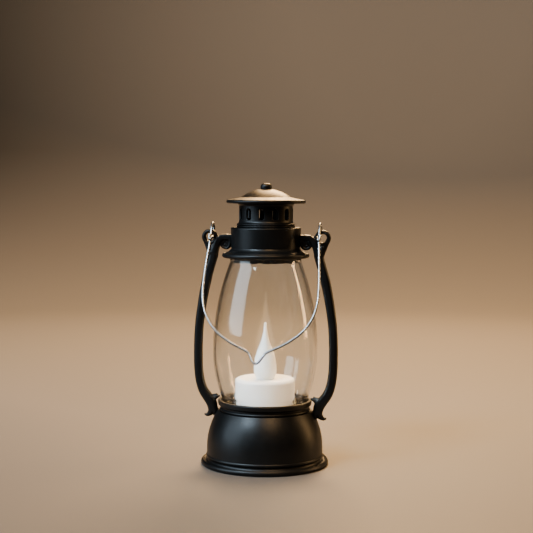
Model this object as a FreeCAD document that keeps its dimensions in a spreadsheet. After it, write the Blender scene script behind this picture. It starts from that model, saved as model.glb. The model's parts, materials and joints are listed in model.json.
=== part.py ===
"""Hurricane candle lantern: a parametric assembly in millimetres, +Z up.

The origin is the middle of the foot's underside. The arms stand along X and the bail hangs to -Y.
Lengths are cells of the sheet called "sizes"; every sub-part is bound to them by expressions.
"""
import FreeCAD, Part
import math
import os
import re

import Sketcher

SIZES = {
    # foot, dome and collar
    "foot_reach": 3.7,
    "foot_height": 4.0,
    "foot_dish_depth": 1.2,
    "foot_land": 4.4,
    "foot_ledge_width": 1.0,
    "dome_radius": 36.8,
    "dome_height": 30.3,
    "dome_side_height": 7.0,
    "dome_wall": 1.5,
    "dome_rim_height": 3.0,
    "bead_radius": 1.5,
    "collar_height": 6.8,
    "collar_ledge_height": 3.1,
    "collar_ledge_width": 3.3,
    "collar_lip_width": 2.1,
    # globe and its gaskets
    "globe_height": 92.7,
    "globe_radius": 33.2,
    "globe_wall": 1.8,
    "globe_belly_height": 34.5,
    "globe_neck_length": 2.2,
    "globe_clearance": 1.8,
    "gasket_thickness": 0.6,
    "gasket_skirt_length": 2.9,
    # crown, chimney and cap
    "crown_radius": 22.2,
    "crown_height": 19.2,
    "crown_taper": 0.4,
    "crown_wall": 1.6,
    "crown_lip_reach": 5.3,
    "crown_lip_thickness": 2.7,
    "chimney_inset": 5.2,
    "chimney_height": 15.0,
    "chimney_wall": 1.4,
    "chimney_flange_width": 3.0,
    "vent_width": 3.6,
    "vent_length": 7.6,
    "vent_pairs": 6,
    "cap_overhang": 7.9,
    "cap_height": 9.0,
    "cap_wall": 1.2,
    "cap_dome_bend": 26.0,
    "cap_brim_thickness": 2.2,
    "knob_radius": 3.2,
    "knob_height": 3.7,
    "stud_radius": 1.5,
    "stud_length": 14.5,
    "bridge_width": 4.2,
    "bridge_thickness": 1.2,
    "bridge_drop": 4.0,
    "nut_width": 5.5,
    "nut_height": 2.4,
    # arms
    "arm_gap": 10.7,
    "arm_bar_radius": 2.65,
    "arm_thickness": 4.8,
    "eye_reach": 13.9,
    "eye_radius": 5.0,
    "eye_hole_radius": 2.5,
    "eye_height": 12.7,
    "scroll_radius": 4.6,
    # bail
    "bail_wire_radius": 0.75,
    "bail_loop_offset": 3.6,
    "bail_loop_rise": 5.2,
    "bail_length": 87.0,
    "bail_clearance": 0.25,
    # candle carrier
    "plate_thickness": 2.2,
    "plate_clearance": 0.2,
    "pedestal_radius": 9.0,
    "pedestal_wall": 1.6,
    "tray_drop": 2.0,
    "tray_thickness": 1.6,
    "tray_rim_height": 2.0,
    "tray_rim_width": 1.9,
    "tray_clearance": 1.4,
    # candle
    "candle_radius": 19.0,
    "candle_height": 19.6,
    "candle_wall": 1.4,
    "candle_clearance": 0.3,
    "candle_dish_depth": 0.8,
    "flame_height": 36.2,
    "flame_radius": 7.2,
    "flame_wall": 1.3,
    "flame_spigot_radius": 5.0,
    "board_radius": 15.0,
    "board_height": 9.0,
    "board_thickness": 1.2,
    "cell_radius": 10.0,
    "cell_thickness": 3.2,
    "cell_clearance": 0.3,
    "door_flange": 1.8,
    "door_thickness": 1.0,
    "door_clearance": 0.1,
    "lug_reach": 1.0,
    "led_radius": 2.5,
    "switch_travel": 2.0,
    # fasteners and fits
    "screw_radius": 1.0,
    "screw_head_radius": 1.8,
    "screw_head_height": 1.2,
    "fit_clearance": 0.05,
}

# Heights that stack up from the floor, as formulas of the cells.
DOME_TOP = "(foot_height + dome_height)"
COLLAR_LEDGE = f"({DOME_TOP} + collar_ledge_height)"
COLLAR_TOP = f"({DOME_TOP} + collar_height)"
GLOBE_FOOT = f"({COLLAR_LEDGE} + gasket_thickness)"
GLOBE_TOP = f"({GLOBE_FOOT} + globe_height)"
CROWN_FOOT = f"({GLOBE_TOP} + gasket_thickness)"
CROWN_TOP = f"({CROWN_FOOT} + crown_height)"
CHIMNEY_TOP = f"({CROWN_TOP} + chimney_height)"
CAP_TOP = f"({CHIMNEY_TOP} + cap_height)"
TRAY_FLOOR = f"({COLLAR_LEDGE} - tray_drop)"
CANDLE_TOP = f"({TRAY_FLOOR} + candle_height)"
BOARD_FOOT = f"({TRAY_FLOOR} + board_height)"

# Radii that follow one another: the tray passes the collar, and the globe stands on its ledge.
FOOT_RADIUS = "(dome_radius + foot_reach)"
FOOT_OPENING = "(dome_radius - foot_land)"
TRAY_INNER = "(candle_radius + candle_clearance)"
TRAY_RADIUS = f"({TRAY_INNER} + tray_rim_width)"
COLLAR_OPENING = f"({TRAY_RADIUS} + tray_clearance)"
SEAT_RADIUS = f"({COLLAR_OPENING} + collar_ledge_width)"
LIP_INNER_RADIUS = f"({SEAT_RADIUS} + globe_clearance)"
LIP_RADIUS = f"({LIP_INNER_RADIUS} + collar_lip_width)"
NECK_RADIUS = "(crown_radius + 0.4)"
CROWN_LIP = "(crown_radius + crown_lip_reach)"
CHIMNEY_RADIUS = "(crown_radius - chimney_inset)"
CAP_RADIUS = f"({CHIMNEY_RADIUS} + cap_overhang)"
ARM_REACH = "(globe_radius + arm_gap)"
EYE_ACROSS = "(crown_radius + eye_reach)"

SCREWS_AROUND = 3
# A rounded end meets the axis in a flat this small.
POLE = "0.05"

doc = FreeCAD.newDocument("hurricane_lantern")
sheet = doc.addObject("Spreadsheet::Sheet", "sizes")
for row, (alias, number) in enumerate(SIZES.items(), start=1):
    sheet.set(f"A{row}", alias)
    sheet.set(f"B{row}", str(number))
    sheet.setAlias(f"B{row}", alias)
doc.recompute()

ALIAS = re.compile(r"[a-z][a-z_]+[a-z]")
Z_AXIS = FreeCAD.Vector(0, 0, 1)


def formula(text):
    """Turn a formula of cell names into an expression that FreeCAD can bind."""
    return ALIAS.sub(lambda word: "sizes." + word.group() if word.group() in SIZES else word.group(), text)


def value(text):
    """Work out a formula of cell names as a number."""
    return float(sheet.evalExpression(formula(text)))


def bind(item, **formulas):
    """Bind properties of an object to formulas."""
    for name, text in formulas.items():
        item.setExpression(name, formula(text))
    return item


# ---------------------------------------------------------------- sketch helpers

def new_body(label):
    body = doc.addObject("PartDesign::Body", label)
    body.Label = label
    return body


def new_sketch(body, plane_role, name):
    sketch = body.newObject("Sketcher::SketchObject", name)
    plane = next(item for item in body.Origin.OriginFeatures if item.Role == plane_role)
    sketch.AttachmentSupport = [(plane, "")]
    sketch.MapMode = "FlatFace"
    return sketch


def constrain(sketch, name, formula_text, kind, *geometry):
    """Add a named driving dimension and bind it to a formula."""
    index = sketch.addConstraint(Sketcher.Constraint(kind, *geometry, value(formula_text)))
    sketch.renameConstraint(index, name)
    sketch.setExpression("Constraints." + name, formula(formula_text))


def arc_between(start, end, radius):
    """Minor arc from start to end; a positive radius turns left, a negative one right."""
    chord = end - start
    side = 1 if radius > 0 else -1
    height = math.sqrt(max(radius * radius - chord.Length ** 2 / 4, 0))
    normal = FreeCAD.Vector(-chord.y, chord.x, 0).normalize()
    centre = (start + end) / 2 + normal * height * side
    first, last = (start, end) if side > 0 else (end, start)
    angles = [math.atan2(point.y - centre.y, point.x - centre.x) for point in (first, last)]
    return Part.ArcOfCircle(Part.Circle(centre, Z_AXIS, abs(radius)), *angles)


def outline(sketch, corners):
    """Draw a closed outline.

    A corner is (across, up), or (across, up, bend) when an arc of that radius leads to it.
    """
    base = sketch.GeometryCount
    count = len(corners)
    points = [FreeCAD.Vector(value(corner[0]), value(corner[1]), 0) for corner in corners]
    ends = []
    for index in range(count):
        after = (index + 1) % count
        start, end = points[index], points[after]
        if len(corners[after]) == 3:
            bend = value(corners[after][2])
            geometry = sketch.addGeometry(arc_between(start, end, bend), False)
            constrain(sketch, f"bend{geometry}", f"abs({corners[after][2]})", "Radius", geometry)
            ends.append((geometry, 1, 2) if bend > 0 else (geometry, 2, 1))
        else:
            geometry = sketch.addGeometry(Part.LineSegment(start, end), False)
            ends.append((geometry, 1, 2))
    for index in range(count):
        geometry, first, last = ends[index]
        following, following_first, _ = ends[(index + 1) % count]
        sketch.addConstraint(Sketcher.Constraint("Coincident", geometry, last, following, following_first))
        constrain(sketch, f"across{base + index}", corners[index][0], "DistanceX", -1, 1, geometry, first)
        constrain(sketch, f"up{base + index}", corners[index][1], "DistanceY", -1, 1, geometry, first)


def circle(sketch, across, up, radius):
    """Draw a circle whose centre and radius are formulas."""
    centre = FreeCAD.Vector(value(across), value(up), 0)
    geometry = sketch.addGeometry(Part.Circle(centre, Z_AXIS, value(radius)), False)
    constrain(sketch, f"radius{geometry}", radius, "Radius", geometry)
    constrain(sketch, f"across{geometry}", across, "DistanceX", -1, 1, geometry, 3)
    constrain(sketch, f"up{geometry}", up, "DistanceY", -1, 1, geometry, 3)


def revolve(body, kind, name, corners):
    """Revolve an outline about the Z axis, to add (Revolution) or to cut (Groove)."""
    sketch = new_sketch(body, "XZ_Plane", name + "_section")
    outline(sketch, corners)
    turned_feature = body.newObject("PartDesign::" + kind, name)
    turned_feature.Profile = sketch
    turned_feature.ReferenceAxis = (sketch, ["V_Axis"])
    turned_feature.Angle = 360
    return turned_feature


def turned(label, corners):
    """Make a body of revolution from half of its section."""
    body = new_body(label)
    revolve(body, "Revolution", label + "_turn", corners)
    return body


def padded(label, corners, thickness, plane_role="XZ_Plane"):
    """Pad an outline to both sides of an origin plane."""
    body = new_body(label)
    sketch = new_sketch(body, plane_role, label + "_outline")
    outline(sketch, corners)
    pad = body.newObject("PartDesign::Pad", label + "_pad")
    pad.Profile = sketch
    pad.Midplane = True
    bind(pad, Length=thickness)
    return body


# ---------------------------------------------------------------- primitive helpers

def cylinder(name, radius, length, placement=None):
    """Cylinder along its own Z axis, with sizes bound to formulas."""
    solid = bind(doc.addObject("Part::Cylinder", name), Radius=radius, Height=length)
    solid.Placement = placement or FreeCAD.Placement()
    return solid


def box(name, size, corner, turn=0.0):
    """Box from size and lowest corner formulas, turned about the Z axis by degrees."""
    solid = bind(doc.addObject("Part::Box", name), Length=size[0], Width=size[1], Height=size[2])
    lowest = FreeCAD.Vector(*(value(text) for text in corner))
    rotation = FreeCAD.Rotation(Z_AXIS, turn)
    solid.Placement = FreeCAD.Placement(rotation.multVec(lowest), rotation)
    return solid


def cut(label, base, tools):
    """Cut one or more objects from a base object."""
    tool = tools[0] if len(tools) == 1 else join(label + "_tools", tools)
    result = doc.addObject("Part::Cut", label)
    result.Label = label
    result.Base = base
    result.Tool = tool
    return result


def join(label, parts):
    """Fuse objects into one."""
    result = doc.addObject("Part::MultiFuse", label)
    result.Label = label
    result.Shapes = parts
    return result


def group(label, parts):
    """Keep like pieces as separate solids of one node."""
    result = doc.addObject("Part::Compound", label)
    result.Label = label
    result.Links = parts
    return result


def ring_of_places(radius, height, first_angle=0.0, count=SCREWS_AROUND):
    """Upright places on a circle about the Z axis."""
    places = []
    for index in range(count):
        angle = math.radians(first_angle + 360.0 * index / count)
        across, along = value(radius) * math.cos(angle), value(radius) * math.sin(angle)
        places.append(FreeCAD.Placement(FreeCAD.Vector(across, along, value(height)), FreeCAD.Rotation()))
    return places


def side_places(radius, height, tilt):
    """Two places that point outwards along +X and -X, raised by a tilt in degrees."""
    places = []
    for side in (1, -1):
        lean = math.radians(tilt)
        direction = FreeCAD.Vector(side * math.cos(lean), 0, math.sin(lean))
        seat = FreeCAD.Vector(side * value(radius), 0, value(height))
        places.append(FreeCAD.Placement(seat, FreeCAD.Rotation(Z_AXIS, direction)))
    return places


def screws(label, places, length):
    """Slotted screws: the head lies below each place and the shank above it."""
    made = []
    for index, place in enumerate(places):
        name = f"{label}_{index + 1}"
        below = place.multiply(FreeCAD.Placement(FreeCAD.Vector(0, 0, -value("screw_head_height")),
                                                 FreeCAD.Rotation()))
        head = cylinder(name + "_head", "screw_head_radius", "screw_head_height", below)
        shank = cylinder(name + "_shank", "screw_radius", length, place)
        slot = bind(doc.addObject("Part::Box", name + "_slot"), Length="2 * screw_head_radius + 1",
                    Width="screw_head_radius / 4", Height="screw_head_height / 2")
        slot.Placement = below.multiply(FreeCAD.Placement(FreeCAD.Vector(
            -value("screw_head_radius + 0.5"), -value("screw_head_radius / 8"), 0), FreeCAD.Rotation()))
        made.append(cut(name, join(name + "_blank", [head, shank]), [slot]))
    return group(label, made)


def holes(name, places, radius, length, drop="0"):
    """Cylinders that cut a hole at each place, starting the drop below it."""
    tools = []
    for index, place in enumerate(places):
        start = place.multiply(FreeCAD.Placement(FreeCAD.Vector(0, 0, -value(drop)), FreeCAD.Rotation()))
        tools.append(cylinder(f"{name}_{index + 1}", radius, length, start))
    return tools


def bent_path(corners):
    """Straight runs joined by tangent arcs; a corner is (point, bend radius)."""
    points = [corner[0] for corner in corners]
    edges = []
    start = points[0]
    for index in range(1, len(corners) - 1):
        corner, bend = corners[index]
        back, onward = points[index - 1] - corner, points[index + 1] - corner
        half_turn = (math.pi - back.getAngle(onward)) / 2
        reach = min(bend * math.tan(half_turn), 0.49 * min(back.Length, onward.Length))
        back.normalize()
        onward.normalize()
        radius = reach / math.tan(half_turn)
        inward = (back + onward).normalize()
        middle = corner + inward * (radius / math.cos(half_turn) - radius)
        arc_start, arc_end = corner + back * reach, corner + onward * reach
        edges.append(Part.LineSegment(start, arc_start).toShape())
        edges.append(Part.Arc(arc_start, middle, arc_end).toShape())
        start = arc_end
    edges.append(Part.LineSegment(start, points[-1]).toShape())
    return Part.Wire(edges)


def swept_rod(path, radius):
    """Round rod along a path."""
    edge = path.OrderedEdges[0]
    start = edge.valueAt(edge.FirstParameter)
    tangent = edge.tangentAt(edge.FirstParameter)
    section = Part.Wire([Part.Circle(start, tangent, radius).toShape()])
    return path.makePipeShell([section], True, True)


nodes = []


def node(item):
    """List an object as a finished piece that is written to its own file."""
    nodes.append(item)
    return item


# ---------------------------------------------------------------- base: foot, dome and collar

FOOT_SCREW_CIRCLE = f"({FOOT_OPENING} + screw_head_radius + 0.4)"
foot_places = ring_of_places(FOOT_SCREW_CIRCLE, "screw_head_height", 30)
foot_blank = turned("foot_blank", [
    (FOOT_OPENING, "0"),
    (f"{FOOT_RADIUS} - 1.1", "0"),
    (FOOT_RADIUS, "foot_height / 2 - 0.2", "2.2"),
    (f"{FOOT_RADIUS} - 1", "foot_height - 0.6", "2"),
    (f"{FOOT_RADIUS} - 2.2", "foot_height - foot_dish_depth", "-4"),
    ("dome_radius + 0.5", "foot_height - foot_dish_depth", "-8"),
    ("dome_radius - 0.3", "foot_height", "-2"),
    (f"{FOOT_OPENING} - foot_ledge_width", "foot_height"),
    (f"{FOOT_OPENING} - foot_ledge_width", "plate_thickness + plate_clearance"),
    (FOOT_OPENING, "plate_thickness + plate_clearance"),
])
node(cut("foot_ring", foot_blank,
         holes("foot_shank_hole", foot_places, "screw_radius", "foot_height")
         + holes("foot_head_hole", foot_places, "screw_head_radius + fit_clearance",
                 "screw_head_height", "screw_head_height")))

DOME_SIDE_TOP = "(foot_height + dome_side_height)"
# Where the dome's rounded shoulder ends, on the arc that leaves the side at DOME_SIDE_TOP.
SHOULDER_DROP = f"({DOME_TOP} - {DOME_SIDE_TOP})"
SHOULDER_END = f"({LIP_RADIUS} + 0.1)"


def tangent_bend(reach, rise):
    """Radius of an arc that leaves a vertical tangent and reaches sideways over a rise."""
    return f"((({rise}) ^ 2 + ({reach}) ^ 2) / (2 * ({reach})))"


DOME_BEND = tangent_bend(f"dome_radius - {SHOULDER_END}", SHOULDER_DROP)
INNER_BEND = f"({DOME_BEND} - dome_wall)"
CENTRE_ACROSS = f"(dome_radius - {DOME_BEND})"
INNER_DROP = f"({SHOULDER_DROP} - dome_wall)"
INNER_END = f"({CENTRE_ACROSS} + sqrt({INNER_BEND} ^ 2 - {INNER_DROP} ^ 2))"
dome_shell = turned("dome_shell", [
    (FOOT_OPENING, "foot_height"),
    ("dome_radius - 0.3", "foot_height"),
    ("dome_radius - 0.3", "foot_height + 0.5"),
    ("dome_radius", "foot_height + 0.5 + 1.6 * bead_radius", "bead_radius"),
    ("dome_radius", DOME_SIDE_TOP),
    (SHOULDER_END, DOME_TOP, DOME_BEND),
    (COLLAR_OPENING, DOME_TOP),
    (COLLAR_OPENING, f"{DOME_TOP} - dome_wall"),
    (INNER_END, f"{DOME_TOP} - dome_wall"),
    ("dome_radius - dome_wall", DOME_SIDE_TOP, f"-{INNER_BEND}"),
    ("dome_radius - dome_wall", "foot_height + dome_rim_height"),
    (FOOT_OPENING, "foot_height + dome_rim_height"),
])

# The arm's foot is screwed on square to the dome's shoulder, this far below the dome's top.
FOOT_SCREW_RISE = f"({SHOULDER_DROP} - 3.94)"
SCREW_SEAT_BEND = f"({INNER_BEND} - 0.06)"
FOOT_SCREW_TILT = math.degrees(math.asin(value(f"{FOOT_SCREW_RISE} / {SCREW_SEAT_BEND}")))
arm_foot_places = side_places(f"{CENTRE_ACROSS} + sqrt({SCREW_SEAT_BEND} ^ 2 - {FOOT_SCREW_RISE} ^ 2)",
                              f"{DOME_SIDE_TOP} + {FOOT_SCREW_RISE}", FOOT_SCREW_TILT)
base_dome = node(cut("base_dome", dome_shell,
                     holes("dome_foot_hole", foot_places, "screw_radius", "foot_height + dome_rim_height")
                     + holes("dome_arm_hole", arm_foot_places, "screw_radius", "3 * dome_wall", "dome_wall")))
node(screws("foot_ring_screws", foot_places, "foot_height + dome_rim_height - screw_head_height - 0.5"))

GROOVE_RADIUS = f"({LIP_RADIUS} - 1.9)"
globe_collar = node(turned("globe_collar", [
    (COLLAR_OPENING, DOME_TOP),
    (f"{LIP_RADIUS} - 1.4", DOME_TOP),
    (f"{LIP_RADIUS} - 1.4", f"{DOME_TOP} + 1.5", "1"),
    (GROOVE_RADIUS, f"{DOME_TOP} + 2"),
    (GROOVE_RADIUS, f"{DOME_TOP} + 2.6"),
    (f"{LIP_RADIUS} - 0.2", f"{DOME_TOP} + 3.8", "-1.8"),
    (LIP_RADIUS, f"{COLLAR_TOP} - 0.8"),
    (f"{LIP_RADIUS} - 0.8", COLLAR_TOP, "0.8"),
    (f"{LIP_INNER_RADIUS} + 0.5", COLLAR_TOP),
    (LIP_INNER_RADIUS, f"{COLLAR_TOP} - 0.5", "0.5"),
    (LIP_INNER_RADIUS, COLLAR_LEDGE),
    (COLLAR_OPENING, COLLAR_LEDGE),
]))
node(turned("globe_lower_gasket", [
    (f"{COLLAR_OPENING} + 0.6", COLLAR_LEDGE),
    (f"{LIP_INNER_RADIUS} - 0.2", COLLAR_LEDGE),
    (f"{LIP_INNER_RADIUS} - 0.2", GLOBE_FOOT),
    (f"{COLLAR_OPENING} + 0.6", GLOBE_FOOT),
]))

# ---------------------------------------------------------------- globe and upper gasket

BELLY = f"({GLOBE_FOOT} + globe_belly_height)"
NECK_FOOT = f"({GLOBE_TOP} - globe_neck_length)"
SHOULDER_BEND = tangent_bend(f"globe_radius - {NECK_RADIUS}", f"{NECK_FOOT} - {BELLY}")
BASE_BEND = tangent_bend(f"globe_radius - {SEAT_RADIUS}", "globe_belly_height - 0.6")
INNER_NECK = (f"(globe_radius - {SHOULDER_BEND}"
              f" + sqrt(({SHOULDER_BEND} - globe_wall) ^ 2 - ({NECK_FOOT} - {BELLY}) ^ 2))")
INNER_SEAT = f"({SEAT_RADIUS} - globe_wall - 0.4)"
node(turned("globe", [
    (f"{INNER_SEAT} + 0.6", GLOBE_FOOT),
    (f"{SEAT_RADIUS} - 0.6", GLOBE_FOOT),
    (SEAT_RADIUS, f"{GLOBE_FOOT} + 0.6", "0.6"),
    ("globe_radius", BELLY, BASE_BEND),
    (NECK_RADIUS, NECK_FOOT, SHOULDER_BEND),
    (f"{NECK_RADIUS} - 0.1", f"{GLOBE_TOP} - 0.5"),
    (f"{NECK_RADIUS} - 0.6", GLOBE_TOP, "0.5"),
    (f"{INNER_NECK} + 0.4", GLOBE_TOP),
    (f"{INNER_NECK} - 0.1", f"{GLOBE_TOP} - 0.5", "0.5"),
    (INNER_NECK, NECK_FOOT),
    ("globe_radius - globe_wall", BELLY, f"-({SHOULDER_BEND} - globe_wall)"),
    (INNER_SEAT, f"{GLOBE_FOOT} + 0.6", f"-({BASE_BEND} - globe_wall)"),
]))
GASKET_INNER = f"({INNER_NECK} - 1.6)"
node(turned("globe_upper_gasket", [
    (GASKET_INNER, f"{GLOBE_TOP} - gasket_skirt_length"),
    (f"{INNER_NECK} - 0.25", f"{GLOBE_TOP} - gasket_skirt_length"),
    (f"{INNER_NECK} - 0.25", GLOBE_TOP),
    (f"{NECK_RADIUS} + 0.4", GLOBE_TOP),
    (f"{NECK_RADIUS} + 0.4", CROWN_FOOT),
    (GASKET_INNER, CROWN_FOOT),
]))

# ---------------------------------------------------------------- crown and chimney

CROWN_LOW_RADIUS = "(crown_radius - crown_taper)"
CROWN_INNER_RADIUS = f"({CROWN_LOW_RADIUS} - crown_wall)"
LIP_TOP = f"({CROWN_FOOT} + crown_lip_thickness)"
ARM_SCREW_HEIGHT = f"({CROWN_FOOT} + 9.6)"
arm_top_places = side_places(f"sqrt({CROWN_INNER_RADIUS} ^ 2 - screw_head_radius ^ 2)", ARM_SCREW_HEIGHT, 0)
CHIMNEY_INNER_RADIUS = f"({CHIMNEY_RADIUS} - chimney_wall)"
CHIMNEY_OPENING = f"({CHIMNEY_INNER_RADIUS} - chimney_flange_width)"
CHIMNEY_SCREW_CIRCLE = f"(({CHIMNEY_INNER_RADIUS} + {CHIMNEY_OPENING}) / 2)"
chimney_places = ring_of_places(CHIMNEY_SCREW_CIRCLE, f"{CROWN_TOP} - crown_wall", 45)
crown_shell = turned("crown_shell", [
    (CROWN_INNER_RADIUS, CROWN_FOOT),
    (f"{CROWN_LIP} - 0.8", CROWN_FOOT),
    (CROWN_LIP, f"{CROWN_FOOT} + crown_lip_thickness / 2", "1.3"),
    (f"{CROWN_LIP} - 0.6", LIP_TOP, "1.6"),
    (f"{CROWN_LIP} - 1.6", f"{LIP_TOP} - 0.1"),
    (f"{CROWN_LIP} - 2.4", f"{LIP_TOP} + 0.6", "-1.8"),
    (CROWN_LOW_RADIUS, f"{LIP_TOP} + 3.4", "-4.5"),
    ("crown_radius", f"{CROWN_TOP} - 1"),
    ("crown_radius - 1", CROWN_TOP, "1"),
    (CHIMNEY_OPENING, CROWN_TOP),
    (CHIMNEY_OPENING, f"{CROWN_TOP} - crown_wall"),
    (CROWN_INNER_RADIUS, f"{CROWN_TOP} - crown_wall"),
])
crown = node(cut("crown", crown_shell,
                 holes("crown_arm_hole", arm_top_places, "screw_radius", "3 * crown_wall", "0.3")
                 + holes("crown_chimney_hole", chimney_places, "screw_radius", "2 * crown_wall")))
node(screws("chimney_screws", chimney_places, "crown_wall + 1.4"))

chimney_body = turned("chimney_shell", [
    (CHIMNEY_OPENING, CROWN_TOP),
    (f"{CHIMNEY_RADIUS} + 1.2", CROWN_TOP),
    (f"{CHIMNEY_RADIUS} + 1.5", f"{CROWN_TOP} + 1.1", "0.7"),
    (f"{CHIMNEY_RADIUS} + 1.2", f"{CROWN_TOP} + 1.2"),
    (f"{CHIMNEY_RADIUS} + 1.5", f"{CROWN_TOP} + 1.7", "0.6"),
    (f"{CHIMNEY_RADIUS} + 0.8", f"{CROWN_TOP} + 3.2"),
    (CHIMNEY_RADIUS, f"{CROWN_TOP} + 4.2", "-1.4"),
    (CHIMNEY_RADIUS, f"{CHIMNEY_TOP} - 1.8"),
    (f"{CHIMNEY_RADIUS} + 0.8", f"{CHIMNEY_TOP} - 0.6", "-1.6"),
    (f"{CHIMNEY_RADIUS} + 0.8", CHIMNEY_TOP),
    (CHIMNEY_INNER_RADIUS, CHIMNEY_TOP),
    (CHIMNEY_INNER_RADIUS, f"{CROWN_TOP} + 1.5"),
    (CHIMNEY_OPENING, f"{CROWN_TOP} + 1.5"),
])
VENT_MIDDLE = f"({CHIMNEY_TOP} - 6.8)"
vent_sketch = new_sketch(chimney_body, "XZ_Plane", "vent_outline")
outline(vent_sketch, [
    ("-vent_width / 2", f"{VENT_MIDDLE} - vent_length / 2 + 0.9"),
    ("0", f"{VENT_MIDDLE} - vent_length / 2"),
    ("vent_width / 2", f"{VENT_MIDDLE} - vent_length / 2 + 0.9"),
    ("vent_width / 2", f"{VENT_MIDDLE} + vent_length / 2 - vent_width / 2"),
    ("-vent_width / 2", f"{VENT_MIDDLE} + vent_length / 2 - vent_width / 2", "vent_width / 2 + 0.001"),
])
vents = chimney_body.newObject("PartDesign::Pocket", "vents")
vents.Profile = vent_sketch
vents.Type = 1
vents.Midplane = True
doc.recompute()
vent_pattern = chimney_body.newObject("PartDesign::PolarPattern", "vent_pattern")
vent_pattern.Originals = [vents]
vent_pattern.Axis = (vent_sketch, ["V_Axis"])
bind(vent_pattern, Angle="180 - 180 / vent_pairs", Occurrences="vent_pairs")
chimney_body.Tip = vent_pattern
node(cut("chimney", chimney_body, holes("chimney_hole", chimney_places, "screw_radius", "crown_wall + 1.4")))

# ---------------------------------------------------------------- cap, knob and its strap

CAP_CENTRE = f"({CAP_TOP} + 0.31 - cap_dome_bend)"
BRIM_START = f"sqrt(cap_dome_bend ^ 2 - ({CHIMNEY_TOP} + 3.9 - {CAP_CENTRE}) ^ 2)"
CAP_INNER_BEND = "(cap_dome_bend - cap_wall)"
INNER_START = f"({CHIMNEY_INNER_RADIUS} - 0.4)"
node(turned("cap", [
    ("stud_radius + fit_clearance", CAP_TOP),
    (f"sqrt(cap_dome_bend ^ 2 - ({CAP_TOP} - {CAP_CENTRE}) ^ 2)", CAP_TOP),
    (BRIM_START, f"{CHIMNEY_TOP} + 3.9", "-cap_dome_bend"),
    (f"{CAP_RADIUS} - 0.5", f"{CHIMNEY_TOP} + cap_brim_thickness"),
    (f"{CAP_RADIUS} - 0.5", CHIMNEY_TOP, "-cap_brim_thickness * 0.56"),
    (INNER_START, CHIMNEY_TOP),
    (INNER_START, f"{CAP_CENTRE} + sqrt({CAP_INNER_BEND} ^ 2 - {INNER_START} ^ 2)"),
    ("stud_radius + fit_clearance",
     f"{CAP_CENTRE} + sqrt({CAP_INNER_BEND} ^ 2 - (stud_radius + fit_clearance) ^ 2)", CAP_INNER_BEND),
]))
STUD_END = f"({CAP_TOP} - stud_length)"
node(turned("cap_knob", [
    ("0", STUD_END),
    ("stud_radius", STUD_END),
    ("stud_radius", CAP_TOP),
    ("knob_radius + 0.4", CAP_TOP),
    ("knob_radius + 0.4", f"{CAP_TOP} + 0.5"),
    ("knob_radius - 0.2", f"{CAP_TOP} + 0.8"),
    ("knob_radius", f"{CAP_TOP} + 1.4"),
    (POLE, f"{CAP_TOP} + knob_height", "knob_radius * 0.5 + knob_height * 0.6"),
    ("0", f"{CAP_TOP} + knob_height"),
]))
BRIDGE_TURN = 15.0
BRIDGE_TOP = f"({CHIMNEY_TOP} - 1)"
bridge_outer = box("bridge_block",
                   (f"2 * {CHIMNEY_RADIUS}", "bridge_width", "bridge_drop + bridge_thickness"),
                   (f"-{CHIMNEY_RADIUS}", "-bridge_width / 2",
                    f"{BRIDGE_TOP} - bridge_drop - bridge_thickness"), BRIDGE_TURN)
bridge_limit = cylinder("bridge_limit", f"{CHIMNEY_INNER_RADIUS} - 0.02", CHIMNEY_TOP)
bridge_blank = doc.addObject("Part::Common", "bridge_blank")
bridge_blank.Base = bridge_outer
bridge_blank.Tool = bridge_limit
bridge_gap = box("bridge_gap", (f"2 * ({CHIMNEY_INNER_RADIUS} - 1.6)", "bridge_width + 2", "bridge_drop + 1"),
                 (f"1.6 - {CHIMNEY_INNER_RADIUS}", "-bridge_width / 2 - 1",
                  f"{BRIDGE_TOP} - bridge_drop - bridge_thickness - 1"), BRIDGE_TURN)
bridge_hole = cylinder("bridge_hole", "stud_radius + fit_clearance", CHIMNEY_TOP)
node(cut("cap_bridge", bridge_blank, [bridge_gap, bridge_hole]))

nut_body = new_body("cap_nut")
nut_sketch = new_sketch(nut_body, "XY_Plane", "nut_outline")
NUT_CORNER = "nut_width / (2 * cos(30 deg))"
outline(nut_sketch, [(f"{NUT_CORNER} * cos({60 * side} deg)", f"{NUT_CORNER} * sin({60 * side} deg)")
                     for side in range(6)])
circle(nut_sketch, "0", "0", "stud_radius")
nut_pad = nut_body.newObject("PartDesign::Pad", "nut_pad")
nut_pad.Profile = nut_sketch
bind(nut_pad, Length="nut_height")
bind(nut_body, **{"Placement.Base.z": f"{BRIDGE_TOP} - bridge_thickness - nut_height"})
node(nut_body)

# ---------------------------------------------------------------- arms

EYE_MIDDLE = f"({CROWN_FOOT} + eye_height)"
SCROLL_MIDDLE = f"({CROWN_FOOT} + 10.1)"
SCROLL_ACROSS = "(crown_radius + scroll_radius - 0.4)"
ARM_HEAD = f"({CROWN_FOOT} + 2.6)"


def on_arm(across, height):
    return FreeCAD.Vector(value(across), 0, value(height))


arm_bar = doc.addObject("Part::Feature", "arm_bar")
arm_path = bent_path([
    (on_arm("crown_radius + 10.9", ARM_HEAD), 0),
    (on_arm(ARM_REACH, f"{CROWN_FOOT} - 35"), 200),
    (on_arm(ARM_REACH, f"{DOME_TOP} + 22.8"), 78),
    (on_arm(f"{LIP_RADIUS} + 10.1", f"{DOME_TOP} + 8.6"), 24),
    (on_arm(f"{LIP_RADIUS} + 4.7", f"{DOME_TOP} + 1.2"), 0),
])
arm_bar.Shape = swept_rod(arm_path, value("arm_bar_radius"))

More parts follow.
